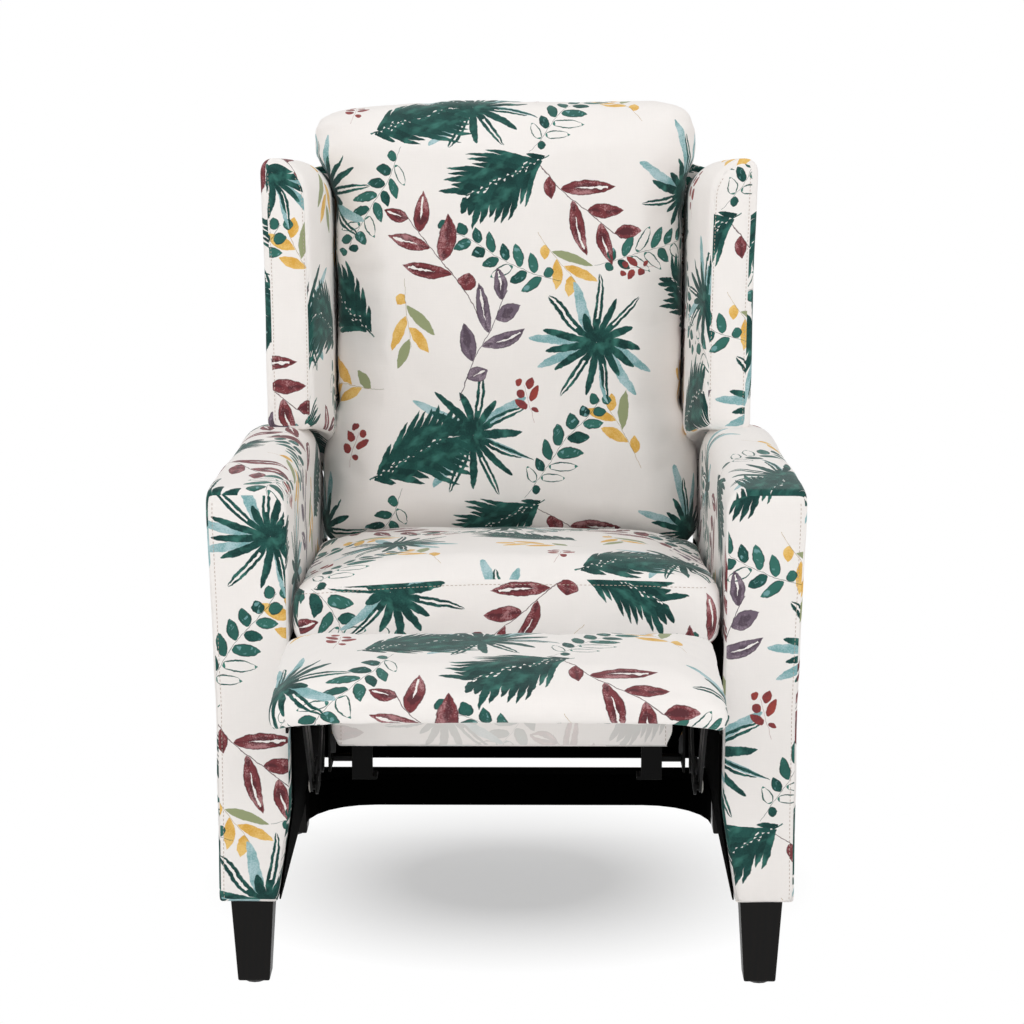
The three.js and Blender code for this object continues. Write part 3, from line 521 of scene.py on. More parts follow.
def printed_fabric(name, fade):
    """Upholstery cloth with the print; a fade of 1 would leave only its ground."""
    @finish(name)
    def material(g):
        cloth = g.cloth_place(CLOTH_UV)
        from_seam = g.split(g.cloth_place(SEAM_UV))[0]
        drawn = g.use(LEAF_PRINT, Vector=cloth)
        weave = g.use(LINEN, Vector=cloth)
        sewing = g.use(SEWN_EDGE, Vector=cloth, Distance=from_seam)
        # Painted shade: the cloth's colour is darkened along each seam crease, on top of the weave's own
        # tone.
        weave_tone_and_crease_shade = g.spread(weave["Tone"], 0.2, 0.8, 0.93, 1.05) * (sewing["Crease"] * -CREASE_SHADE + 1.0)
        fold = g.use(SOFT_FOLDS, Vector=cloth)["Height"]
        broad = g.bump(fold * 4.0 + sewing["Height"] * 2.5, 0.6, 1.0 * MM)
        color = g.mix(fade, drawn["Color"], GROUND)
        return {
            "Base Color": g.vector("MULTIPLY", color, g.joined(weave_tone_and_crease_shade, weave_tone_and_crease_shade, weave_tone_and_crease_shade)),
            "Roughness": drawn["Paint"] * -0.08 + 0.92,
            "Specular IOR Level": 0.25,
            "Sheen Weight": 0.15,
            "Sheen Roughness": 0.5,
            "Normal": g.bump(weave["Height"], 0.25, 0.4 * MM, broad),
        }
    return material


@finish("sewing_thread")
def THREAD(g):
    """Twisted thread, darker than the cloth as painted shade for the stitch holes it sits in."""
    twist = g.noise(g.object_place(), 1400.0)
    return {
        # Painted shade: both thread colours are kept darker than the cloth to stand in for shaded stitch
        # holes.
        "Base Color": g.mix(twist, srgb(168, 150, 138), srgb(206, 190, 178)),
        "Roughness": g.spread(twist, 0.0, 1.0, 0.55, 0.8),
        "Normal": g.bump(twist, 0.5, 0.2 * MM),
    }


FABRIC = printed_fabric("printed_fabric", 0.0)
FADED_FABRIC = printed_fabric("faded_fabric", 0.78)


# Soft forms
NO_SEAM = 1000.0
WELD = 0.05
NEAR_ZERO = 1e-6


def arc_lengths(points):
    """Distances along the rows and columns of a grid of points, each from its first point."""
    across = np.linalg.norm(np.diff(points, axis=1), axis=2)
    along = np.linalg.norm(np.diff(points, axis=0), axis=2)
    rows, columns = points.shape[:2]
    u = np.concatenate([np.zeros((rows, 1)), np.cumsum(across, axis=1)], axis=1)
    v = np.concatenate([np.zeros((1, columns)), np.cumsum(along, axis=0)], axis=0)
    return u, v


def panel(points, origin, turned=False, wraps=False, creased=True):
    """A grid of points in the chair's millimetres, with its cloth coordinates and seam distances.

    A panel that wraps round has seams at its first and last rows only.
    """
    u, v = arc_lengths(points)
    from_seam = np.minimum(v, v[-1:] - v)
    if not wraps:
        from_seam = np.minimum(from_seam, np.minimum(u, u[:, -1:] - u))
    if not creased:
        from_seam = np.full_like(u, NO_SEAM)
    rows, columns = u.shape
    u = u - u[:, columns // 2][:, None]
    v = v - v[rows // 2][None, :]
    if turned:
        u, v = v, u
    cloth = np.stack([u * MM + origin[0], v * MM + origin[1]], axis=2)
    return points, cloth, from_seam * MM


def linked(name, mesh):
    obj = bpy.data.objects.new(name, mesh)
    bpy.context.scene.collection.objects.link(obj)
    return obj


def mesh_object(name, bm, matrix):
    mesh = bpy.data.meshes.new(name)
    bm.to_mesh(mesh)
    bm.free()
    mesh.transform(matrix)
    return linked(name, mesh)


def add_panel(bm, layers, points, cloth, from_seam):
    """Lays one panel's faces, its cloth coordinates and the marks on its seam points."""
    cloth_layer, distance_layer, seam_layer = layers
    rows, columns = points.shape[:2]
    grid = [[bm.verts.new(points[i, j]) for j in range(columns)] for i in range(rows)]
    for i in range(rows):
        for j in range(columns):
            if i in (0, rows - 1) or j in (0, columns - 1):
                grid[i][j][seam_layer] = 1.0
    for i in range(rows - 1):
        for j in range(columns - 1):
            corners = ((i, j), (i, j + 1), (i + 1, j + 1), (i + 1, j))
            face = bm.faces.new([grid[a][b] for a, b in corners])
            face.smooth = True
            for loop, (a, b) in zip(face.loops, corners):
                loop[cloth_layer].uv = cloth[a, b]
                loop[distance_layer].uv = (from_seam[a, b], 0.0)


def sewn(name, panels, matrix):
    """One closed mesh from panels that meet along their edges."""
    bm = bmesh.new()
    layers = (bm.loops.layers.uv.new(CLOTH_UV), bm.loops.layers.uv.new(SEAM_UV),
              bm.verts.layers.float.new("held"))
    for points, cloth, from_seam in panels:
        add_panel(bm, layers, points, cloth, from_seam)
    bmesh.ops.remove_doubles(bm, verts=bm.verts, dist=WELD)
    bmesh.ops.dissolve_degenerate(bm, edges=bm.edges, dist=WELD)
    bmesh.ops.recalc_face_normals(bm, faces=bm.faces)
    return mesh_object(name, bm, matrix)


def perimeter(grid):
    """The outside values of a grid, up the left side, over the top, down the right and back."""
    return np.concatenate([grid[:, 0], grid[-1, 1:], grid[-2::-1, -1], grid[0, -2::-1]])


def continued(edge_cloth, travel):
    """Cloth coordinates that run on past an end panel's edge by the distance travelled over it."""
    along = np.roll(edge_cloth[:-1], -1, axis=0) - np.roll(edge_cloth[:-1], 1, axis=0)
    along = np.concatenate([along, along[:1]])
    outward = np.stack([-along[:, 1], along[:, 0]], axis=1)
    outward = outward / np.maximum(np.linalg.norm(outward, axis=1), NEAR_ZERO * MM)[:, None]
    return edge_cloth[None, :, :] + outward[None, :, :] * travel[:, :, None] * MM


def cased(name, section, stations, cells, caps, matrix, origins, turned=False, creased=True, runs_on=None):
    """A closed cover: a wrap through the stations and a panel on each end.

    section(a, c, station) gives the points for shares a across and c up, each from -1 to 1.
    caps are two functions that puff the end panels; origins place the print on each panel.
    runs_on names the end panel, 0 or 2, whose print runs on over the wrap.
    """
    a = np.linspace(-1.0, 1.0, cells[0] + 1)
    c = np.linspace(-1.0, 1.0, cells[1] + 1)
    across, up = np.meshgrid(a, c)
    first = caps[0](section(across, up, stations[0]), across, up)
    last = caps[1](section(across, up, stations[-1]), across, up)
    round_a = np.concatenate([-np.ones_like(c), a[1:], np.ones_like(c)[1:], a[::-1][1:]])
    round_c = np.concatenate([c, np.ones_like(a)[1:], c[::-1][1:], -np.ones_like(a)[1:]])
    wrap = np.stack([section(round_a, round_c, station) for station in stations])
    panels = [
        panel(first, origins[0], creased=creased),
        panel(wrap, origins[1], turned, wraps=True, creased=creased),
        panel(last, origins[2], creased=creased),
    ]
    if runs_on is not None:
        travel = arc_lengths(wrap)[1]
        travel = travel if runs_on == 0 else travel[-1:] - travel
        points, _, from_seam = panels[1]
        panels[1] = (points, continued(perimeter(panels[runs_on][1]), travel), from_seam)
    return sewn(name, panels, matrix)


def at_points(x, y, z):
    return np.stack(np.broadcast_arrays(x, y, z), axis=-1)


def between(low, high, share):
    return low + (high - low) * share


def ramp(value, start, end):
    """0 before the start, 1 past the end and a straight rise between them."""
    return np.clip((value - start) / (end - start), 0.0, 1.0)


def rise_at_edge(distance, radius):
    """A quarter circle: 0 at a seam, 1 once a radius away from it."""
    return np.sqrt(np.clip(1.0 - (1.0 - ramp(distance, 0.0, radius)) ** 2, 0.0, 1.0))


def swell(across, up, halves, radii):
    """1 over the middle of a panel, with quarter circles down to 0 at its seams."""
    side = rise_at_edge((1.0 - np.abs(across)) * halves[0], radii[0])
    return side * rise_at_edge((1.0 - np.abs(up)) * halves[1], radii[1])


def crown(across, up, flatness=2):
    return (1.0 - across ** 2) * (1.0 - up ** flatness)


def flat_cap(points, across, up):
    return points


ALONG_Y = 1
ALONG_Z = 2


def puffed(axis, rise, halves, radii, middle_rise=0.0, flatness=2):
    """A cap that swells an end panel along one axis, and a little more in its middle."""
    def cap(points, across, up):
        points[..., axis] += rise * swell(across, up, halves, radii)
        points[..., axis] += middle_rise * crown(across, up, flatness)
        return points
    return cap


def rounded_edge(radius):
    """Stations, as depth and inset, that turn a quarter circle from an end panel into the wrap."""
    turns = [radians(step * 30.0) for step in range(4)]
    return [(radius * (1.0 - sin(turn)), radius * (1.0 - cos(turn))) for turn in reversed(turns)]


def round_corner(x, z, corner, radius, side_x, side_z):
    """Moves points near one corner of a rectangle onto a rounded corner."""
    middle_x = corner[0] - side_x * radius
    middle_z = corner[1] - side_z * radius
    dx = (x - middle_x) * side_x / radius
    dz = (z - middle_z) * side_z / radius
    inside = (dx > 0.0) & (dz > 0.0)
    scale = np.maximum(dx, dz) / np.maximum(np.sqrt(dx ** 2 + dz ** 2), NEAR_ZERO)
    new_x = middle_x + side_x * dx * scale * radius
    new_z = middle_z + side_z * dz * scale * radius
    return np.where(inside, new_x, x), np.where(inside, new_z, z)


def interpolated(value, places, sizes):
    """A smooth curve through a few places, eased between them."""
    places = np.asarray(places, dtype=float)
    sizes = np.asarray(sizes, dtype=float)
    index = np.clip(np.searchsorted(places, value, side="right") - 1, 0, len(places) - 2)
    share = ramp(value, places[index], places[index + 1])
    eased = share * share * (3.0 - 2.0 * share)
    return between(sizes[index], sizes[index + 1], eased)


def per_point(collection, attribute, width=3):
    """One attribute of every point of a mesh, as rows of an array."""
    flat = np.zeros(len(collection) * width)
    collection.foreach_get(attribute, flat)
    return flat.reshape(-1, width)


def coordinates(obj):
    return per_point(obj.data.vertices, "co")


def push_out(obj, distances):
    """Moves every point of a cover along its normal."""
    normals = per_point(obj.data.vertex_normals, "vector")
    set_coordinates(obj, coordinates(obj) + normals * np.asarray(distances)[:, None])


def set_coordinates(obj, places):
    obj.data.vertices.foreach_set("co", places.ravel())
    obj.data.update()


BLOW_FRAMES = 20
CLOTH_SETTINGS = {
    "use_pressure": True,
    "vertex_group_mass": "held",
    "mass": 0.3,
    "quality": 6,
    "tension_stiffness": 15.0,
    "compression_stiffness": 15.0,
    "shear_stiffness": 5.0,
    "bending_stiffness": 1.0,
}


def blowing_cloth(obj, pressure, growth):
    """A cloth that is blown up with its seams held."""
    held = per_point(obj.data.attributes["held"].data, "value", 1)[:, 0] > 0.5
    group = obj.vertex_groups.new(name="held")
    group.add([int(k) for k in np.nonzero(held)[0]], 1.0, "REPLACE")
    cloth = obj.modifiers.new("cloth", "CLOTH")
    for name, value in CLOTH_SETTINGS.items():
        setattr(cloth.settings, name, value)
    cloth.settings.uniform_pressure_force = pressure
    cloth.settings.shrink_min = -growth
    cloth.settings.shrink_max = -growth
    cloth.settings.effector_weights.gravity = 0.0
    cloth.collision_settings.use_collision = False
    cloth.point_cache.frame_start = 1
    cloth.point_cache.frame_end = BLOW_FRAMES
    return cloth


def inflate(obj, pressure, growth, furthest):
    """Blows the cover up from inside with its seams held, as stuffing does, and keeps the result."""
    rest = coordinates(obj)
    cloth = blowing_cloth(obj, pressure, growth)
    scene = bpy.context.scene
    for step in range(1, BLOW_FRAMES + 1):
        scene.frame_set(step)
    shape = obj.evaluated_get(bpy.context.evaluated_depsgraph_get())
    move = per_point(shape.data.vertices, "co") - rest
    obj.modifiers.remove(cloth)
    scene.frame_set(1)
    limit = furthest / np.maximum(np.linalg.norm(move, axis=1), furthest)
    set_coordinates(obj, rest + move * limit[:, None])


def dimple(obj, depth, spacing, seed):
    """Shallow hollows all over a cover, where hands and stuffing have pressed it."""
    shift = Vector((seed, 2.0 * seed, 3.0 * seed))
    hollows = [noise.noise(Vector(place) / (spacing * MM) + shift) for place in coordinates(obj)]
    push_out(obj, np.array(hollows) * depth * MM)


def smooth_cover(obj):
    cover = obj.modifiers.new("cover", "SUBSURF")
    cover.levels = 1
    cover.render_levels = 1


def mirrored_copy(obj, name, shift=(0.0, 0.0)):
    """The same cover for the other side, with the print moved along the cloth."""
    mesh = obj.data.copy()
    mesh.name = name
    mesh.transform(Matrix.Scale(-1.0, 4, (1.0, 0.0, 0.0)))
    mesh.flip_normals()
    for loop in mesh.uv_layers[CLOTH_UV].uv:
        loop.vector = (shift[0] - loop.vector[0], loop.vector[1] + shift[1])
    twin = linked(name, mesh)
    smooth_cover(twin)
    return twin


def dress(obj, material, body):
    obj.data.materials.append(material)
    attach(obj, body)


# Sewing thread: short stitches laid on a cover
STITCH_PITCH = 5.0 * MM
STITCH_LENGTH = 3.3 * MM
THREAD_RADIUS = 0.38 * MM
THREAD_SIDES = 5
THREAD_SWELL = ((0.0, 0.25), (0.2, 1.0), (0.8, 1.0), (1.0, 0.25))


def evenly_spaced(points, pitch):
    """Places a pitch apart along a line of points."""
    points = np.asarray(points)
    steps = np.linalg.norm(np.diff(points, axis=0), axis=1)
    travel = np.concatenate([[0.0], np.cumsum(steps)])
    places = np.arange(pitch / 2.0, travel[-1], pitch)
    return np.stack([np.interp(places, travel, points[:, k]) for k in range(3)], axis=1)


def join_rings(bm, rings):
    """Smooth faces between each ring of points and the next."""
    faces = []
    for low, high in zip(rings, rings[1:]):
        for k in range(len(low)):
            after = (k + 1) % len(low)
            faces.append(bm.faces.new((low[k], low[after], high[after], high[k])))
            faces[-1].smooth = True
    return faces


def add_stitch(bm, start, end, up):
    """One stitch: a thread that dips into the cloth at both ends."""
    run = end - start
    side = run.cross(up).normalized()
    rings = []
    for share, width in THREAD_SWELL:
        middle = start + run * share + up * THREAD_RADIUS * (width - 0.5)
        turns = [2.0 * pi * k / THREAD_SIDES for k in range(THREAD_SIDES)]
        offsets = [(side * cos(turn) + up * sin(turn)) * THREAD_RADIUS * width for turn in turns]
        rings.append([bm.verts.new(middle + offset) for offset in offsets])
    join_rings(bm, rings)
    bm.faces.new(rings[0][::-1])
    bm.faces.new(rings[-1])


def stitch_rows(name, host, body, rows):
    """Rows of stitches along lines of points in metres, each drawn onto the host's surface."""
    surface = BVHTree.FromObject(host, bpy.context.evaluated_depsgraph_get())
    bm = bmesh.new()
    for row in rows:
        places = evenly_spaced(row, STITCH_PITCH)
        for place, step in zip(places[:-1], np.diff(places, axis=0)):
            on_cloth, up, _, _ = surface.find_nearest(Vector(place))
            run = Vector(step)
            run = (run - up * run.dot(up)).normalized() * STITCH_LENGTH
            add_stitch(bm, on_cloth - run * 0.5, on_cloth + run * 0.5, up)
    dress(mesh_object(name, bm, Matrix.Identity(4)), THREAD, body)


def in_metres(points, matrix):
    return [matrix @ Vector(point) for point in points]


def opposite(rows):
    return [[Vector((-x, y, z)) for x, y, z in row] for row in rows]


def place_pair(right, name, body, rows, shift):
    """Puts a cover and its mirrored copy, with their stitches, in place of the two CAD covers."""
    left = mirrored_copy(right, f"{name}_left", shift)
    for cover, side, lines in ((right, "right", rows), (left, "left", opposite(rows))):
        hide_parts(f"{name}_cover_{side}")
        dress(cover, FABRIC, body)
        stitch_rows(f"{name}_stitches_{side}", cover, body, lines)


def place_cushion(pad, node, body):
    smooth_cover(pad)
    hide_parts(node)
    dress(pad, FABRIC, body)


# Arms
ARM_INNER = 254.0
ARM_TOE = 272.0
ARM_SIDE = 342.0
ARM_CROWN_OUT = 348.5
ARM_DEPTH = 662.0
ARM_BOTTOM = 110.0
ARM_TOP = 619.0
ARM_TOE_TOP = 230.0
ARM_FRONT_FALL = 9.0
ARM_FRONT_RUN = 260.0
ARM_FALL_START = 395.0
ARM_FALL = 134.0
ARM_FLARE_MARGIN = 30.0
ARM_EDGE = 6.0
ARM_SIDE_SHARE = 0.35
ARM_BOTTOM_SHARE = 0.4
# Rounding of the inner and outer top edges: at the front, its gain over the front run, and
# its loss where the crown falls
ARM_INNER_ROUND = (24.0, 8.0, 18.0)
ARM_OUTER_ROUND = (7.0, 31.0)
ARM_PANEL_PUFF = 2.5
ARM_PANEL_HALVES = (40.0, 240.0)
ARM_PANEL_RADII = (14.0, 14.0)
ARM_SEAM_ROW = 6.0
ARM_CELLS = (14, 46)
ARM_RUN_STATIONS = 40


def arm_top(y):
    front = ramp(y, ARM_FRONT_RUN, 0.0)
    rear = ramp(y, ARM_FALL_START, ARM_DEPTH)
    return ARM_TOP - ARM_FRONT_FALL * front ** 2 - ARM_FALL * rear ** 2


def arm_inner_at(z):
    """The inner face runs outward below the seat, towards the leg."""
    return between(ARM_INNER, ARM_TOE, ramp(z, ARM_TOE_TOP, ARM_BOTTOM))


def arm_section(a, c, station):
    y, inset = station
    top = arm_top(y) - inset
    z = between(ARM_BOTTOM + inset * ARM_BOTTOM_SHARE, top, (c + 1.0) / 2.0)
    inner = arm_inner_at(z) + inset * ARM_SIDE_SHARE
    flare = ramp(z, (ARM_BOTTOM + top) / 2.0, top - ARM_FLARE_MARGIN)
    outer = between(ARM_SIDE, ARM_CROWN_OUT, flare) - inset * ARM_SIDE_SHARE
    x = between(inner, outer, (a + 1.0) / 2.0)
    depth_share = ramp(y, 0.0, ARM_FRONT_RUN)
    rear_share = ramp(y, ARM_FALL_START, ARM_DEPTH)
    start, gain, loss = ARM_INNER_ROUND
    inner_top = ARM_INNER + inset * ARM_SIDE_SHARE
    x, z = round_corner(x, z, (inner_top, top), start + gain * depth_share - loss * rear_share, -1.0, 1.0)
    start, gain = ARM_OUTER_ROUND
    outer_top = ARM_CROWN_OUT - inset * ARM_SIDE_SHARE
    x, z = round_corner(x, z, (outer_top, top), start + gain * depth_share, 1.0, 1.0)
    return at_points(x, y, z)


def arm_stations():
    edge = rounded_edge(ARM_EDGE)
    run = [(y, 0.0) for y in np.linspace(ARM_EDGE, ARM_DEPTH - ARM_EDGE, ARM_RUN_STATIONS)[1:-1]]
    rear = [(ARM_DEPTH - y, inset) for y, inset in reversed(edge)]
    return edge + run + rear


def arm_stitch_line():
    """Just inside the seam of the front panel, up its outer side."""
    side = 1.0 - 2.0 * ARM_SEAM_ROW / (ARM_SIDE - ARM_INNER)
    top = 1.0 - 2.0 * ARM_SEAM_ROW / (ARM_TOP - ARM_BOTTOM)
    line = arm_section(side, np.linspace(-0.99, top, 60), arm_stations()[0])
    return in_metres(line, chair_matrix())


def make_arms():
    front = puffed(ALONG_Y, -ARM_PANEL_PUFF, ARM_PANEL_HALVES, ARM_PANEL_RADII)
    arm = cased("arm_right", arm_section, arm_stations(), ARM_CELLS, (front, flat_cap),
                chair_matrix(), ((0.10, 0.02), (0.30, 0.42), (0.20, 0.10)), turned=True)
    dimple(arm, depth=1.2, spacing=70.0, seed=1.0)
    smooth_cover(arm)
    place_pair(arm, "arm", "base", [arm_stitch_line()], (0.27, 0.31))


# Seat cushion
SEAT_HALF = 251.0
SEAT_FRONT = -12.0
SEAT_REAR = 468.0
SEAT_BOTTOM = 425.0
SEAT_SEAM_HEIGHT = 75.0
SEAT_PANEL_HALVES = (SEAT_HALF, 240.0)
SEAT_CROWN = 5.0
SEAT_EDGE_RISE = 14.0
SEAT_EDGE_RADII = (130.0, 46.0)
SEAT_LEFT_DROP = 10.0
SEAT_FALL = 48.0
SEAT_FRONT_CROWN = 5.0
SEAT_SIDE_PUFF = 4.0
SEAT_ROUND = 30.0
SEAT_PUFF = 7.0
SEAT_CELLS = (48, 46)
SEAT_STATIONS = 9
SEAT_BOXING_FULLNESS = 0.6
SEAT_ROW_SHARE = 0.93


def seat_section(a, c, station):
    share, puff = station
    inset = SEAT_PUFF * (1.0 - puff)
    half = SEAT_HALF - inset
    front = SEAT_FRONT + inset
    depth_share = (c + 1.0) / 2.0
    x = a * half
    y = between(front, SEAT_REAR, depth_share)
    for side in (1.0, -1.0):
        x, y = round_corner(x, y, (side * half, front), SEAT_ROUND, side, -1.0)
    at_side = np.abs(np.abs(a) - 1.0) < NEAR_ZERO
    x = np.where(at_side, x - np.sign(a) * SEAT_SIDE_PUFF * (1.0 - c ** 2) * sin(pi * share), x)
    rise = SEAT_SEAM_HEIGHT - SEAT_FALL * depth_share
    rise = rise + SEAT_FRONT_CROWN * (1.0 - a ** 2) * (1.0 - depth_share)
    rise = rise - SEAT_LEFT_DROP * np.clip(-a, 0.0, 1.0) ** 1.5 * (1.0 - depth_share)
    return at_points(x, y, SEAT_BOTTOM + rise * share)


def boxing_station(share):
    return share, sin(pi * share) ** SEAT_BOXING_FULLNESS


def make_seat_cushion():
    stations = [boxing_station(share) for share in np.linspace(0.0, 1.0, SEAT_STATIONS)]
    top = puffed(ALONG_Z, SEAT_EDGE_RISE, SEAT_PANEL_HALVES, SEAT_EDGE_RADII, SEAT_CROWN)
    pad = cased("seat_pad", seat_section, stations, SEAT_CELLS, (flat_cap, top),
                chair_matrix(), ((0.1, 0.0), (0.0, 0.25), (0.33, 0.12)))
    inflate(pad, pressure=3.0, growth=0.015, furthest=9.0 * MM)
    dimple(pad, depth=3.0, spacing=95.0, seed=2.0)
    place_cushion(pad, "seat_cushion", "seat")
    line = seat_section(np.linspace(-1.0, 1.0, 90), -1.0, boxing_station(SEAT_ROW_SHARE))
    stitch_rows("seat_stitches", pad, "seat", [in_metres(line, chair_matrix())])


# Footrest pad
FOOT_HALF = 241.0
FOOT_SHIFT = -6.5
FOOT_CORNER = 9.0
FOOT_REAR = -115.0
FOOT_FRONT = -369.0
FOOT_BOTTOM = 428.5
FOOT_THICKNESS = 41.0
FOOT_SIDE_PUFF = 9.0
FOOT_FRONT_PUFF = 14.0
FOOT_REAR_PUFF = 8.0
FOOT_PANEL_HALVES = (FOOT_HALF, 127.0)
FOOT_EDGE_RISE = 9.0
FOOT_EDGE_RADII = (34.0, 34.0)
FOOT_CROWN = 4.0
FOOT_EAR = 9.0
FOOT_CELLS = (48, 26)
FOOT_STATIONS = 8
FOOT_SIDE_SHARE = 0.84
FOOT_BOXING = (0.1, 1.0)
FOOT_BOXING_FULLNESS = 0.5


def foot_section(a, c, station):
    share, puff = station
    forward = (1.0 - c) / 2.0
    half = FOOT_HALF - FOOT_SIDE_PUFF * (1.0 - puff)
    front = FOOT_FRONT + FOOT_FRONT_PUFF * (1.0 - puff)
    rear = FOOT_REAR - FOOT_REAR_PUFF * (1.0 - puff)
    x = a * half
    y = between(rear, front, forward)
    for side in (1.0, -1.0):
        x, y = round_corner(x, y, (side * half, front), FOOT_CORNER, side, -1.0)
    ear = FOOT_EAR * np.abs(a) ** 6 * forward ** 2
    return at_points(x + FOOT_SHIFT, y, FOOT_BOTTOM + FOOT_THICKNESS * share - ear)


def foot_station(share):
    """The pad's side swells from its lower edge and ends in the seam on top."""
    turn = pi * min(1.0, between(*FOOT_BOXING, share))
    return share * FOOT_SIDE_SHARE, sin(turn) ** FOOT_BOXING_FULLNESS


def make_footrest_pad():
    stations = [foot_station(share) for share in np.linspace(0.0, 1.0, FOOT_STATIONS)]
    top = puffed(ALONG_Z, FOOT_EDGE_RISE, FOOT_PANEL_HALVES, FOOT_EDGE_RADII, FOOT_CROWN)
    pad = cased("footrest_cushion", foot_section, stations, FOOT_CELLS, (flat_cap, top),
                chair_matrix(), ((0.0, 0.0), (0.2, 0.4), (0.05, 0.37)), creased=False, runs_on=2)
    inflate(pad, pressure=2.0, growth=0.01, furthest=6.0 * MM)
    dimple(pad, depth=1.5, spacing=80.0, seed=3.0)
    place_cushion(pad, "footrest_pad", "footrest")


# Back cushion, in the back's upright frame
BACK_SEAM = -74.0
BACK_PUFF = 26.0
BACK_CROWN = 12.0
BACK_SIDE_PUFF = 5.0
BACK_TOP_PUFF = 6.0
BACK_BOTTOM = 106.0
BACK_TOP = 684.0
BACK_PANEL_HALVES = (235.0, 285.0)
BACK_EDGE_RADII = (52.0, 52.0)
BACK_CELLS = (48, 62)
BACK_HEIGHTS = (106.0, 150.0, 215.0, 262.0, 300.0, 540.0, 588.0, 622.0, 700.0)
BACK_HALVES = (245.0, 245.0, 243.0, 236.0, 227.0, 229.0, 234.0, 247.0, 247.0)
BACK_TOP_ROUND = {1.0: 32.0, -1.0: 19.0}
BACK_FOOT_ROUND = 14.0
BACK_REAR_SPREAD = 8.0
BACK_SPREAD_HEIGHTS = (235.0, 265.0)
BACK_PLATE_FRONT = -0.5
HEAD_HEIGHTS = (600.0, 622.0)
HEAD_REAR = 42.0
HEAD_LEFT_HEIGHTS = (560.0, 625.0)
HEAD_FULL_LEFT = 13.0
HEAD_LOW_LEFT = 15.0
BACK_STATIONS = 9
BACK_BOXING = (0.12, 0.74)
# Folds in the boxing and pulls on the front: pitch, depth and strength at each height
GATHER_PITCH = 17.0
GATHER_DEPTH = 3.0
GATHER_HEIGHTS = (470.0, 600.0, 655.0, 690.0)
GATHER_STRENGTHS = (0.0, 0.8, 1.0, 0.2)
GATHER_WIDTHS = (190.0, 230.0)
GATHER_REACH = 30.0
GATHER_WAVER = 9.0
PULL_PITCH = 25.0
PULL_DEPTH = 1.3
PULL_HEIGHTS = (360.0, 450.0, 560.0, 640.0)
PULL_STRENGTHS = (0.0, 1.0, 1.0, 0.3)
PULL_WIDTHS = (120.0, 210.0)
PULL_WAVER = 16.0
PULL_SLOPE = 0.12
WAVER_SCALE = 22.0
RISING = (0.0, 1.0)
FALLING = (1.0, 0.0)


def back_section(a, c, station):
    depth, puff = station
    z = between(BACK_BOTTOM, BACK_TOP, (c + 1.0) / 2.0)
    side_inset = BACK_SIDE_PUFF * (1.0 - puff)
    spread = BACK_REAR_SPREAD * depth
    low_spread = spread * interpolated(z, BACK_SPREAD_HEIGHTS, FALLING)
    x = a * (interpolated(z, BACK_HEIGHTS, BACK_HALVES) - side_inset + low_spread)
    left = np.clip(-a, 0.0, 1.0) * interpolated(z, HEAD_LEFT_HEIGHTS, RISING)
    top_half = BACK_HALVES[-1] - side_inset
    low_half = BACK_HALVES[0] - side_inset + spread
    for side in (1.0, -1.0):
        x, z = round_corner(x, z, (side * top_half, BACK_TOP), BACK_TOP_ROUND[side], side, 1.0)
        x, z = round_corner(x, z, (side * low_half, BACK_BOTTOM), BACK_FOOT_ROUND, side, -1.0)
    x = x - HEAD_FULL_LEFT * left
    z = z - HEAD_LOW_LEFT * left ** 2 * interpolated(c, (0.86, 1.0), RISING)
    z = z + np.where(c >= 1.0 - NEAR_ZERO, BACK_TOP_PUFF * puff, 0.0)
    rear = between(BACK_PLATE_FRONT, HEAD_REAR, interpolated(z, HEAD_HEIGHTS, RISING))
    return at_points(x, between(BACK_SEAM, rear, depth), z)


def gather_corners(obj):
    """Small folds where the boxing is eased round the upper corners, and pulls across the front."""
    places = coordinates(obj)
    x, y, z = np.array([back_matrix().inverted() @ Vector(place) for place in places]).T
    reach = np.abs(x)
    waver = np.array([noise.noise(Vector(place) * WAVER_SCALE) for place in places])
    strength = interpolated(z, GATHER_HEIGHTS, GATHER_STRENGTHS) * ramp(reach, *GATHER_WIDTHS)
    strength = strength * np.exp(-((y - BACK_SEAM + 4.0) / GATHER_REACH) ** 2)
    fold = np.sin(2.0 * pi * (z + GATHER_WAVER * waver) / GATHER_PITCH + 3.0 * waver)
    gathers = GATHER_DEPTH * fold * strength
    strength = interpolated(z, PULL_HEIGHTS, PULL_STRENGTHS) * ramp(reach, *PULL_WIDTHS) ** 2
    pull = np.sin(2.0 * pi * (z + PULL_WAVER * waver + PULL_SLOPE * reach) / PULL_PITCH)
    pulls = PULL_DEPTH * pull * strength * (y < BACK_SEAM)
    push_out(obj, (gathers + pulls) * MM)


def make_back_cushion():
    depths = np.linspace(0.0, 1.0, BACK_STATIONS)
    stations = [(depth, sin(pi * between(*BACK_BOXING, depth))) for depth in depths]
    front = puffed(ALONG_Y, -BACK_PUFF, BACK_PANEL_HALVES, BACK_EDGE_RADII, -BACK_CROWN, flatness=4)
    pad = cased("back_pad", back_section, stations, BACK_CELLS, (front, flat_cap),
                back_matrix(), ((0.08, 0.10), (0.5, 0.3), (0.2, 0.2)), creased=False, runs_on=0)
    inflate(pad, pressure=3.0, growth=0.012, furthest=8.0 * MM)
    dimple(pad, depth=3.0, spacing=110.0, seed=4.0)
    gather_corners(pad)
    place_cushion(pad, "back_cushion", "back")


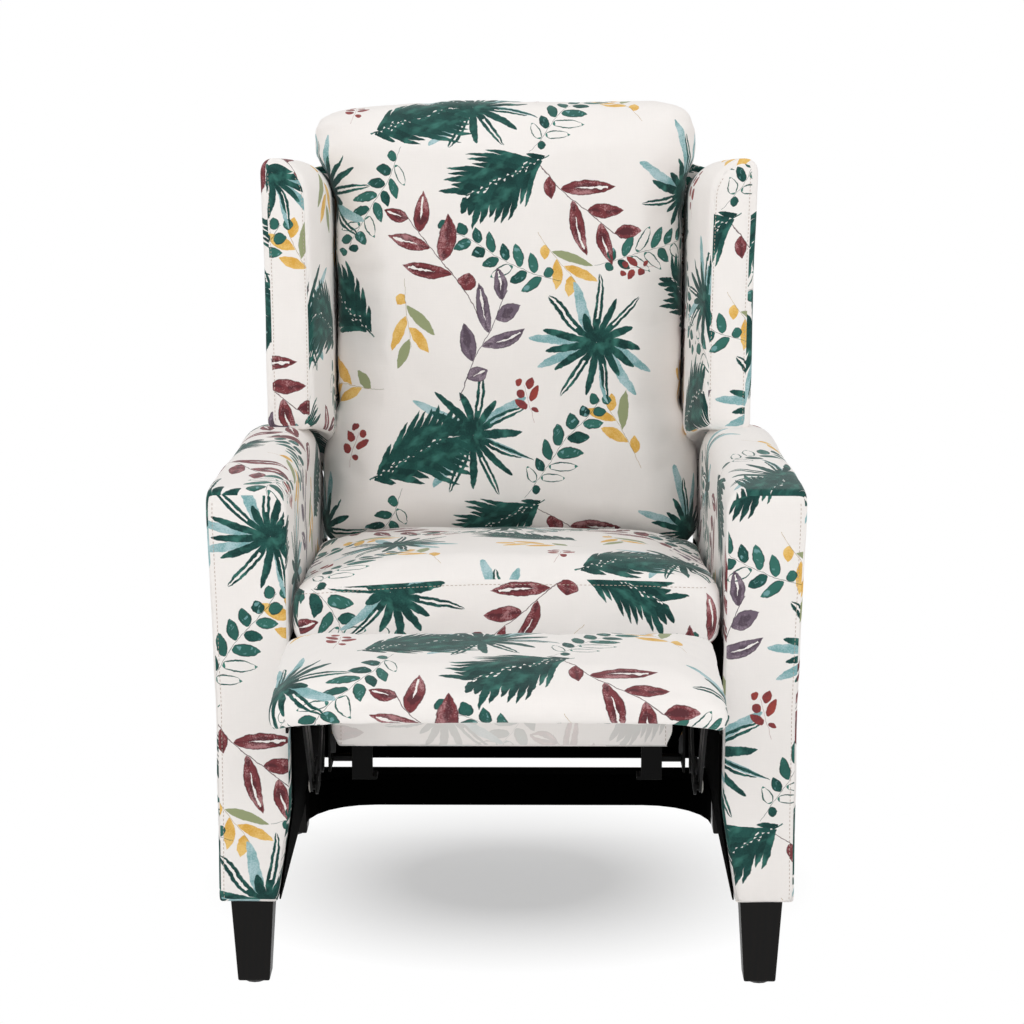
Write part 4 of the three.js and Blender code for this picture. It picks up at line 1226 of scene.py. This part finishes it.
# Wings, in the back's upright frame
WING_OUT = 311.0
WING_FLARE_OUT = 11.0
WING_BAND = 60.0
WING_ROOT = 231.0
WING_ROOT_FLARE = 6.0
WING_OUTER_SOFTNESS = 1.7
WING_TOP_ROUNDS = (46.0, 18.0)
WING_BOTTOM_ROUNDS = (14.0, 10.0)
WING_INNER_DROP = 12.0
WING_DROP_WIDTHS = (240.0, 256.0)
WING_FRONT = -178.0
WING_RAKE = 28.0
WING_BOTTOM = 262.0
WING_REAR_DROP = 69.0
WING_DROP_START = 0.45
WING_TOP = 612.0
WING_REAR = 42.0
WING_EDGE = 4.5
WING_SWEEP = 92.0
WING_BAND_PUFF = 3.0
WING_PANEL_HALVES = (18.0, 170.0)
WING_PANEL_RADII = (9.0, 12.0)
WING_SEAM_ROW = 3.2
WING_CELLS = (10, 44)
WING_RUN_STATIONS = 20


def wing_section(a, c, station):
    depth, inset = station
    up = (c + 1.0) / 2.0
    out = WING_OUT + WING_FLARE_OUT * up ** 1.5
    bend = ramp(depth, 0.0, WING_SWEEP)
    root = WING_ROOT + WING_ROOT_FLARE * up
    inner = between(out - WING_BAND, root, np.sin(bend * pi / 2.0) ** 0.9)
    outer = out - inset * WING_OUTER_SOFTNESS
    inner_side = inner + inset
    x = between(inner_side, outer, (a + 1.0) / 2.0)
    back_share = ramp(depth, 0.0, WING_REAR - WING_FRONT)
    y = between(WING_FRONT - WING_RAKE * (1.0 - up), WING_REAR, back_share)
    top = WING_TOP - inset
    drop = WING_INNER_DROP * interpolated(x, WING_DROP_WIDTHS, FALLING) * bend
    rear_share = ramp(back_share, WING_DROP_START, 1.0)
    bottom = WING_BOTTOM - WING_REAR_DROP * rear_share ** 1.6 + inset - drop
    z = between(bottom, top, up)
    for level, rounds, side_z in ((top, WING_TOP_ROUNDS, 1.0), (bottom, WING_BOTTOM_ROUNDS, -1.0)):
        x, z = round_corner(x, z, (outer, level), rounds[1], 1.0, side_z)
        x, z = round_corner(x, z, (inner_side, level), rounds[0], -1.0, side_z)
    return at_points(x, y, z)


def wing_stations():
    depths = np.linspace(WING_EDGE, WING_REAR - WING_FRONT - 1.0, WING_RUN_STATIONS)[1:]
    return rounded_edge(WING_EDGE) + [(depth, 0.0) for depth in depths]


def wing_stitch_lines():
    """Beside both seams of the wing's front band."""
    width = WING_BAND - WING_EDGE * (1.0 + WING_OUTER_SOFTNESS)
    share = 1.0 - 2.0 * WING_SEAM_ROW / width
    rows = [wing_section(a, np.linspace(-0.96, 0.96, 60), wing_stations()[0]) for a in (-share, share)]
    return [in_metres(row, back_matrix()) for row in rows]


def make_wings():
    front = puffed(ALONG_Y, -WING_BAND_PUFF, WING_PANEL_HALVES, WING_PANEL_RADII)
    wing = cased("wing_right", wing_section, wing_stations(), WING_CELLS, (front, flat_cap),
                 back_matrix(), ((0.12, 0.22), (0.42, 0.05), (0.2, 0.1)), turned=True)
    dimple(wing, depth=1.0, spacing=60.0, seed=5.0)
    smooth_cover(wing)
    place_pair(wing, "wing", "back", wing_stitch_lines(), (0.33, 0.15))


# Covered boards: the front band, the rear rail and the outside back
BOARD_EDGE = 2.0
BOARD_BULGE_SHARES = (0.2, 0.2)
BOARD_REAR_FACES = (42.6, 48.6)
BAND_HALVES = (202.0, 209.8, 209.8)
BAND_HEIGHTS = (287.0, 307.0, 420.0)
BAND_FACES = (53.7, 61.4)
BAND_ROWS = (-198.0, 189.5)
BAND_FABRIC_SHARE = 0.95
RAIL_HEIGHTS = (111.0, 245.0)
RAIL_HALVES = (270.0, 253.5)
RAIL_FACES = (620.0, 642.0)
HIGH_BOARD_HEIGHTS = (265.5, 598.0, 622.0, 672.0)
HIGH_BOARD_HALVES = (297.0, 306.0, 229.0, 229.0)
LOW_BOARD_HEIGHTS = (-40.0, 136.0, 156.0, 193.5, 199.0, 264.7)
LOW_BOARD_HALVES = (215.7, 215.7, 251.5, 251.5, 265.0, 265.0)


def make_board(name, heights, halves, faces, node, body, matrix, cells, puff, origin, fabric=None):
    """A thin covered panel between two faces, as wide at each height as the halves say.

    A puff below 0 swells the front face and one above 0 the rear face.
    """
    def section(a, c, station):
        y, inset = station
        z = between(heights[0] + inset, heights[-1] - inset, (c + 1.0) / 2.0)
        return at_points(a * (interpolated(z, heights, halves) - inset), y, z)

    bulge = puffed(ALONG_Y, puff, (1.0, 1.0), BOARD_BULGE_SHARES)
    front, rear = faces
    caps = (bulge, flat_cap) if puff < 0.0 else (flat_cap, bulge)
    stations = [(front, BOARD_EDGE), (front + BOARD_EDGE, 0.0), (rear - BOARD_EDGE, 0.0), (rear, BOARD_EDGE)]
    board = cased(name, section, stations, cells, caps, matrix, (origin, origin, origin))
    smooth_cover(board)
    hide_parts(node)
    dress(board, fabric or FABRIC, body)
    return board


def line_faces(board, chosen):
    """Black cloth on the chosen faces of a board."""
    board.data.materials.append(BLACK_CLOTH)
    for face in board.data.polygons:
        if chosen(face):
            face.material_index = 1


def inside_chair(face):
    return face.normal.y < -0.5


def past_band_fabric(face):
    """True at the right end of the band, where its fabric stops."""
    half = interpolated(face.center.z / MM, BAND_HEIGHTS, BAND_HALVES)
    return face.center.x / MM > half * BAND_FABRIC_SHARE


def make_front_band():
    band = make_board("front_band", BAND_HEIGHTS, BAND_HALVES, BAND_FACES, "seat_front_band", "seat",
                      chair_matrix(), (80, 22), -1.0, (0.4, 0.3), FADED_FABRIC)
    line_faces(band, past_band_fabric)
    ends = (BAND_HEIGHTS[0] + BOARD_EDGE, BAND_HEIGHTS[-1] - BOARD_EDGE)
    rows = [[(x, BAND_FACES[0], z) for z in ends] for x in BAND_ROWS]
    stitch_rows("band_stitches", band, "seat", [in_metres(row, chair_matrix()) for row in rows])


def make_rear_boards():
    rail = make_board("rear_rail", RAIL_HEIGHTS, RAIL_HALVES, RAIL_FACES, "base_rear_rail", "base",
                      chair_matrix(), (30, 10), 3.0, (0.1, 0.5))
    make_board("outside_back_high", HIGH_BOARD_HEIGHTS, HIGH_BOARD_HALVES, BOARD_REAR_FACES,
               "outside_back_upper", "back", back_matrix(), (34, 40), 9.0, (0.2, 0.2))
    low = make_board("outside_back_low", LOW_BOARD_HEIGHTS, LOW_BOARD_HALVES, BOARD_REAR_FACES,
                     "outside_back_lower", "back", back_matrix(), (24, 40), 5.0, (0.2, -0.2))
    # Black cloth on the faces toward the inside of the chair: a lining, and also painted shade for the dark
    # recesses beside the back cushion and under the seat's rear.
    for board in (rail, low):
        line_faces(board, inside_chair)


# Black cloth: the arm linings and the cloth under the seat
LINING_TOP = 430.0
LINING_FRONT = 4.0
LINING_REAR = 612.0
LINING_GAP = 0.4
LINING_SLACK = 0.7
LINING_STATIONS = ((0.0, 1.0), (1.0, 0.0), (2.0, 0.0), (2.8, 0.8))
LINING_CELLS = (40, 26)
DUST_HALF = 189.0
DUST_TOP = 299.0
DUST_FRONT = 89.0
DUST_REAR = 519.0
DUST_SAG = 9.0
DUST_STATIONS = ((0.0, 0.4), (0.6, 0.0), (1.2, 0.4))
DUST_CELLS = (26, 26)
STAPLE_SPACING = 32.0
STAPLE_PULL = 0.5
STAPLE_SIZE = (9.0, 1.0, 1.4)


def lining_section(a, c, station):
    """Shares a run front to rear, shares c run up; the station is the depth into the lining."""
    depth, inset = station
    z = between(ARM_BOTTOM + inset, LINING_TOP - inset, (c + 1.0) / 2.0)
    y = between(LINING_FRONT + inset, LINING_REAR - inset, (a + 1.0) / 2.0)
    return at_points(arm_inner_at(z) - LINING_GAP - depth, y, z)


def lining_slack(points, across, up):
    """The stapled cloth lies a little loose between its edges."""
    loose = (1.0 - across ** 4) * (1.0 - up ** 4)
    ripple = np.sin(points[..., 1] / 41.0 + points[..., 2] / 90.0) * np.sin(points[..., 2] / 63.0)
    points[..., 0] -= LINING_SLACK * loose * (0.4 + ripple)
    return points


def make_linings():
    right = cased("lining_right", lining_section, LINING_STATIONS, LINING_CELLS, (flat_cap, lining_slack),
                  chair_matrix(), ((0.0, 0.0),) * 3)
    smooth_cover(right)
    left = mirrored_copy(right, "lining_left")
    for lining, side in ((right, "right"), (left, "left")):
        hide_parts(f"arm_lining_{side}")
        dress(lining, BLACK_CLOTH, "base")


def dust_section(a, c, station):
    depth, inset = station
    x = a * (DUST_HALF - inset)
    y = between(DUST_FRONT + inset, DUST_REAR - inset, (c + 1.0) / 2.0)
    sag = DUST_SAG * (1.0 - a ** 2) * (1.0 - c ** 2)
    pull = STAPLE_PULL * np.cos(pi * x / STAPLE_SPACING) * np.clip(np.abs(c), 0.6, 1.0) ** 6
    return at_points(x, y, DUST_TOP - depth - sag + pull)


def make_dust_cloth():
    """Thin cloth stapled under the seat frame, sagging in the middle."""
    cloth = cased("dust_cloth", dust_section, DUST_STATIONS, DUST_CELLS, (flat_cap, flat_cap),
                  chair_matrix(), ((0.0, 0.0),) * 3)
    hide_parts("seat_dust_cloth")
    dress(cloth, BLACK_CLOTH, "seat")


# Fittings
FITTING_SIDES = 24
SIDES = (-1.0, 1.0)


def soften(obj, width, angle=30.0):
    edges = obj.modifiers.new("soft_edges", "BEVEL")
    edges.width = width * MM
    edges.segments = 2
    edges.limit_method = "ANGLE"
    edges.angle_limit = radians(angle)


def place_fitting(name, bm, body, softness):
    """Turns small steel parts, drawn in the chair's millimetres, into one piece."""
    fitting = mesh_object(name, bm, chair_matrix())
    soften(fitting, softness)
    dress(fitting, SPRING_STEEL, body)


def add_block(bm, centre, size):
    """A small solid bar; the size is given along x, y and z."""
    bmesh.ops.create_cube(bm, size=1.0, matrix=Matrix.Translation(centre) @ Matrix.Diagonal((*size, 1.0)))


def add_disc(bm, centre, radius, height):
    bmesh.ops.create_cone(bm, cap_ends=True, segments=FITTING_SIDES, radius1=radius, radius2=radius,
                          depth=height, matrix=Matrix.Translation(centre))


def make_staples():
    """Staples through the dust cloth into the seat's side rails."""
    bm = bmesh.new()
    length = DUST_REAR - DUST_FRONT
    count = int(length // STAPLE_SPACING)
    margin = (length - (count - 1) * STAPLE_SPACING) / 2.0
    for side in SIDES:
        for k in range(count):
            y = DUST_FRONT + margin + k * STAPLE_SPACING
            add_block(bm, (side * (DUST_HALF + STAPLE_SIZE[0] / 2.0), y, DUST_TOP), STAPLE_SIZE)
    place_fitting("dust_cloth_staples", bm, "seat", 0.25)


# Riveted joints of the fold-out mechanism, as places (y, z)
SEAT_FRAME_HALF = 209.7
PLATE_GAP = 0.3
PLATE_THICKNESS = 3.0
PLATE_PITCH = 6.0
LINK_LENGTH = 152.0
LINK_LEAN = -135.0
LINK_PIVOT = (60.0, 385.0)
LINK_SPACING = 60.0
CRANK_LENGTH = 30.0
FOOT_PIVOT = (-150.0, 385.0)
RIVET_RADIUS = 8.0
RIVET_HEIGHT = 2.2
RIVET_RINGS = ((1.0, 0.0), (1.0, 0.30), (0.86, 0.66), (0.55, 0.92))


def layer_outside(count):
    return SEAT_FRAME_HALF + PLATE_GAP + PLATE_PITCH * count + PLATE_THICKNESS


def add_dome(bm, base, direction):
    """A domed rivet head that stands on a plate and points along x."""
    x, y, z = base
    turns = [2.0 * pi * k / FITTING_SIDES for k in range(FITTING_SIDES)]
    rings = []
    for wide, tall in RIVET_RINGS:
        level = x + direction * RIVET_HEIGHT * tall
        radius = RIVET_RADIUS * wide
        rings.append([bm.verts.new((level, y + radius * cos(t), z + radius * sin(t))) for t in turns])
    tip = bm.verts.new((x + direction * RIVET_HEIGHT, y, z))
    faces = [bm.faces.new(rings[0])] + join_rings(bm, rings)
    for k in range(FITTING_SIDES):
        faces.append(bm.faces.new((rings[-1][k], rings[-1][(k + 1) % FITTING_SIDES], tip)))
        faces[-1].smooth = True
    bmesh.ops.recalc_face_normals(bm, faces=faces)


def beside(place, y=0.0, z=0.0):
    return place[0] + y, place[1] + z


def riveted_joints():
    """The joints as body, places and plate layer."""
    lean = radians(LINK_LEAN)
    rear_pivot = beside(LINK_PIVOT, LINK_SPACING)
    knee = beside(LINK_PIVOT, LINK_LENGTH * cos(lean), LINK_LENGTH * sin(lean))
    return (
        ("seat", (LINK_PIVOT, rear_pivot, BACK_PIVOT), 1),
        ("carrier", (knee, beside(knee, LINK_SPACING)), 2),
        ("carrier", (FOOT_PIVOT,), 3),
        ("flip_rods", (beside(FOOT_PIVOT, -CRANK_LENGTH),), 3),
        ("flip_rods", (beside(knee, -CRANK_LENGTH),), 2),
    )


def make_rivets():
    for number, (body, places, layer) in enumerate(riveted_joints()):
        bm = bmesh.new()
        for side in SIDES:
            for place in places:
                add_dome(bm, (side * layer_outside(layer), *place), side)
        place_fitting(f"rivets_{body}_{number}", bm, body, 0.1)


NUT_SIZE = (11.0, 11.0, 5.5)
WASHER_RADIUS = 10.0
WASHER_HEIGHT = 1.6
BOLT_PLACE = (196.0, 72.0)
RAIL_BOTTOM = 300.0
SCREW_RADIUS = 4.5
SCREW_HEIGHT = 2.4
SCREW_FROM_EDGE = 24.0
SCREW_SHARES = (0.12, 0.5, 0.88)


def make_rail_bolts():
    """A square nut on a washer under each end of the seat's front rail."""
    bm = bmesh.new()
    for side in SIDES:
        x, y = side * BOLT_PLACE[0], BOLT_PLACE[1]
        add_disc(bm, (x, y, RAIL_BOTTOM - WASHER_HEIGHT / 2.0), WASHER_RADIUS, WASHER_HEIGHT)
        add_block(bm, (x, y, RAIL_BOTTOM - WASHER_HEIGHT - NUT_SIZE[2] / 2.0), NUT_SIZE)
    place_fitting("rail_bolts", bm, "seat", 0.5)


def make_flange_screws():
    """Pan-head screws that hold the footrest's brackets to its board."""
    low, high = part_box("footrest_bracket_right")
    board_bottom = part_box("footrest_board")[0][2] / MM
    x = high[0] / MM - SCREW_FROM_EDGE
    z = board_bottom - PLATE_THICKNESS - SCREW_HEIGHT / 2.0 - PLATE_GAP
    bm = bmesh.new()
    for side in SIDES:
        for share in SCREW_SHARES:
            y = (between(low[1], high[1], share) - ARM_FRONT) / MM
            add_disc(bm, (side * x, y, z), SCREW_RADIUS, SCREW_HEIGHT)
    place_fitting("flange_screws", bm, "footrest", 0.7)


# Finishes
@shader_group("edge_wear", VECTOR | values("Radius"), values("Mask"))
def EDGE_WEAR(g, given):
    """Where an edge is rubbed: 1 on worn edges, 0 on flat faces."""
    bevel = g.add("ShaderNodeBevel", samples=4)
    g.put(bevel.inputs["Radius"], given["Radius"])
    flat = g.add("ShaderNodeNewGeometry").outputs["Normal"]
    turned = 1.0 - g.vector("DOT_PRODUCT", bevel.outputs[0], flat)
    patch = g.noise(given["Vector"], 60.0, 3.0)
    return (g.spread(turned, 0.02, 0.12) * g.spread(patch, 0.40, 0.62),)


@shader_group("wood_grain", VECTOR, values("Tone", "Height"))
def WOOD_GRAIN(g, given):
    """Growth bands and pores that run along z."""
    place = given["Vector"]
    x, y, _ = g.split(place)
    radius = g.streaks(place, (9.0, 9.0, 1.6)) * 0.05 + (y * 0.6 + x)
    band = g.math("SINE", radius * 900.0) * 0.5 + 0.5
    pore = g.streaks(place, (900.0, 900.0, 26.0))
    return band * 0.25 + pore * 0.75, band * 0.2 + pore


@finish("dark_wood_finish")
def DARK_WOOD(g):
    """Stained legs under a thin coat, rubbed at the edges."""
    place = g.object_place()
    wood = g.use(WOOD_GRAIN, Vector=place)
    worn = g.use(EDGE_WEAR, Vector=place, Radius=1.5 * MM)["Mask"]
    stain = g.mix(g.spread(wood["Tone"], 0.25, 0.75), srgb(5, 4, 3), srgb(15, 11, 8))
    return {
        "Base Color": g.mix(worn * 0.3, stain, srgb(70, 54, 42)),
        "Roughness": g.spread(wood["Tone"], 0.0, 1.0, 0.34, 0.50),
        "Specular IOR Level": 0.16,
        "Coat Weight": worn * -0.04 + 0.05,
        "Coat Roughness": 0.30,
        "Normal": g.bump(wood["Height"], 0.25, 0.3 * MM),
    }


@finish("frame_wood_finish")
def FRAME_WOOD(g):
    """Plain sawn softwood."""
    wood = g.use(WOOD_GRAIN, Vector=g.object_place())
    return {
        "Base Color": g.mix(g.spread(wood["Tone"], 0.2, 0.8), srgb(206, 172, 128), srgb(178, 138, 94)),
        "Roughness": g.spread(wood["Tone"], 0.0, 1.0, 0.6, 0.8),
        "Normal": g.bump(wood["Height"], 0.35, 0.4 * MM),
    }


@finish("black_steel_finish")
def BLACK_STEEL(g):
    """Powder-coated plate, rubbed to bare metal along a few edges."""
    place = g.object_place()
    worn = g.use(EDGE_WEAR, Vector=place, Radius=0.8 * MM)["Mask"] * 0.5
    smear = g.noise(place, 26.0, 3.0)
    coat = g.mix(g.spread(smear, 0.35, 0.70), srgb(3, 3, 3), srgb(9, 9, 8))
    return {
        "Base Color": g.mix(worn, coat, srgb(70, 68, 64)),
        "Metallic": worn,
        "Specular IOR Level": 0.09,
        "Roughness": g.spread(smear, 0.3, 0.7, 0.42, 0.58),
        "Normal": g.bump(g.noise(place, 1100.0, 1.0), 0.12, 0.2 * MM),
    }


@finish("spring_steel_finish")
def SPRING_STEEL(g):
    """Oiled wire and zinc-plated fasteners."""
    place = g.object_place()
    stain = g.noise(place, 90.0, 3.0)
    return {
        "Base Color": g.mix(g.spread(stain, 0.35, 0.65), srgb(98, 96, 92), srgb(140, 138, 132)),
        "Metallic": 1.0,
        "Roughness": g.spread(stain, 0.3, 0.7, 0.30, 0.46),
        "Normal": g.bump(g.noise(place, 1500.0, 1.0), 0.08, 0.2 * MM),
    }


@finish("nylon_finish")
def NYLON(g):
    """Moulded glides, scuffed underneath."""
    place = g.object_place()
    rub = g.noise(place, 700.0)
    return {
        "Base Color": g.mix(g.noise(place, 70.0), srgb(26, 26, 26), srgb(44, 43, 42)),
        "Roughness": g.spread(rub, 0.3, 0.7, 0.42, 0.60),
        "Subsurface Weight": 0.05,
        "Normal": g.bump(rub, 0.1, 0.3 * MM),
    }


@finish("black_cloth_finish")
def BLACK_CLOTH(g):
    """Matt woven lining with a little lint."""
    place = g.object_place()
    x, y, z = g.split(place)
    weave = g.use(LINEN, Vector=g.joined(x + y, z))
    lint = g.noise(place, 420.0, 3.0)
    color = g.mix(g.spread(weave["Tone"], 0.25, 0.85), srgb(1, 1, 1), srgb(5, 5, 4))
    return {
        "Base Color": g.mix(g.spread(lint, 0.70, 0.85), color, srgb(14, 13, 12)),
        "Roughness": g.spread(lint, 0.2, 0.8, 0.86, 0.98),
        "Specular IOR Level": 0.015,
        "Normal": g.bump(weave["Height"], 0.45, 0.4 * MM),
    }


# Finish and edge softness in millimetres of each kind of carried-over solid
SLOT_FINISHES = {
    "black_cloth": (BLACK_CLOTH, 3.0),
    "dark_wood": (DARK_WOOD, 2.2),
    "frame_wood": (FRAME_WOOD, 1.5),
    "black_steel": (BLACK_STEEL, 0.5),
    "spring_steel": (SPRING_STEEL, 0.0),
    "nylon": (NYLON, 0.4),
    "printed_fabric": (FABRIC, 0.0),
}
JOINED_DISTANCE = 0.01
CARRIED_ANGLE = 35.0


def finish_carried_nodes():
    """Gives each carried-over solid its finish and softens its hard edges."""
    for obj in NODES.values():
        for slot in obj.material_slots:
            material, softness = SLOT_FINISHES[slot.material.name.split(".")[0]]
            slot.link = "OBJECT"
            slot.material = material
        if softness > 0.0:
            joined = obj.modifiers.new("joined_faces", "WELD")
            joined.merge_threshold = JOINED_DISTANCE * MM
            soften(obj, softness, CARRIED_ANGLE)


# Studio
WHITE = (1.0, 1.0, 1.0, 1.0)
FLOOR_HALF = 6.0
SHADOW_CENTRE = (0.0, 0.27, 0.0)
SHADOW_SPREAD = (0.44, 0.40)
SHADOW_NEAR = 0.30
SHADOW_FAR = 0.93
SHADOW_STRENGTH = 0.54
WORLD_LIGHT = 0.65
# Soft boxes: name, place, size, power
SOFT_BOXES = (
    ("key_box", (-3.0, -2.0, 2.0), 2.4, 19.0),
    ("fill_box", (3.0, -2.0, 1.7), 2.4, 15.0),
    ("front_box", (0.0, -5.2, 1.3), 2.4, 39.0),
    ("top_box", (0.0, 0.3, 3.2), 2.6, 14.0),
)
AIM = Vector((0.0, 0.0, 0.5))


def add_camera():
    data = bpy.data.cameras.new("camera")
    data.sensor_fit = "HORIZONTAL"
    data.sensor_width = SENSOR_MM
    data.lens = FOCAL_PX / IMAGE_PX * SENSOR_MM
    camera = linked("camera", data)
    camera.location = CAMERA_PLACE
    camera.rotation_euler = (radians(90.0 - CAMERA_TILT), 0.0, radians(CAMERA_YAW))
    bpy.context.scene.camera = camera


def seen_directly(g):
    """1 for rays from the camera, from a reflection or through glass."""
    path = g.named(g.add("ShaderNodeLightPath").outputs)
    seen = g.larger(path["Is Camera Ray"], path["Is Glossy Ray"])
    return g.larger(seen, path["Is Transmission Ray"])


def add_world():
    """White where it is seen, softer where it lights the chair."""
    world = bpy.data.worlds.new("studio")
    world.use_nodes = True
    world.node_tree.nodes.clear()
    g = Graph(world.node_tree)
    light = g.result("ShaderNodeBackground", (WHITE, WORLD_LIGHT))
    shown = g.result("ShaderNodeBackground", (WHITE, 1.0))
    pick = g.result("ShaderNodeMixShader", (seen_directly(g), light, shown))
    g.put(g.add("ShaderNodeOutputWorld").inputs["Surface"], pick)
    bpy.context.scene.world = world


@finish("studio_floor")
def FLOOR(g):
    """A pale matt floor."""
    speck = g.noise(g.object_place(), 40.0, 3.0)
    return {
        "Base Color": g.mix(speck, (0.93, 0.93, 0.93, 1.0), (0.96, 0.96, 0.96, 1.0)),
        "Roughness": 0.9,
        "Specular IOR Level": 0.1,
    }


def fade_floor():
    """Keeps the soft shadow under the chair and lets the floor run out into the white backdrop."""
    g = Graph(FLOOR.node_tree)
    output = next(node for node in g.tree.nodes if node.type == "OUTPUT_MATERIAL")
    shaded = output.inputs["Surface"].links[0].from_socket
    from_centre = g.vector("SUBTRACT", g.object_place(), SHADOW_CENTRE)
    shrink = (1.0 / SHADOW_SPREAD[0], 1.0 / SHADOW_SPREAD[1], 0.0)
    distance = g.vector("LENGTH", g.vector("MULTIPLY", from_centre, shrink))
    share = g.spread(distance, SHADOW_NEAR, SHADOW_FAR, 1.0 - SHADOW_STRENGTH, 1.0)
    white = g.result("ShaderNodeEmission", (WHITE,))
    mixed = g.result("ShaderNodeMixShader", (share * seen_directly(g), shaded, white))
    g.put(output.inputs["Surface"], mixed)


def add_floor():
    fade_floor()
    mesh = bpy.data.meshes.new("floor")
    corners = [(x * FLOOR_HALF, y * FLOOR_HALF, 0.0) for x, y in ((-1, -1), (1, -1), (1, 1), (-1, 1))]
    mesh.from_pydata(corners, [], [(0, 1, 2, 3)])
    mesh.materials.append(FLOOR)
    linked("floor", mesh)


def add_soft_boxes():
    for name, place, size, power in SOFT_BOXES:
        data = bpy.data.lights.new(name, "AREA")
        data.shape = "SQUARE"
        data.size = size
        data.energy = power
        lamp = linked(name, data)
        lamp.location = place
        lamp.rotation_euler = (AIM - Vector(place)).to_track_quat("-Z", "Y").to_euler()


# The whole chair in its studio
add_camera()
add_world()
add_floor()
add_soft_boxes()
bpy.context.scene.view_settings.view_transform = "Standard"
finish_carried_nodes()
make_arms()
make_linings()
make_wings()
make_back_cushion()
make_seat_cushion()
make_footrest_pad()
make_front_band()
make_rear_boards()
make_dust_cloth()
make_staples()
make_rivets()
make_rail_bolts()
make_flange_screws()
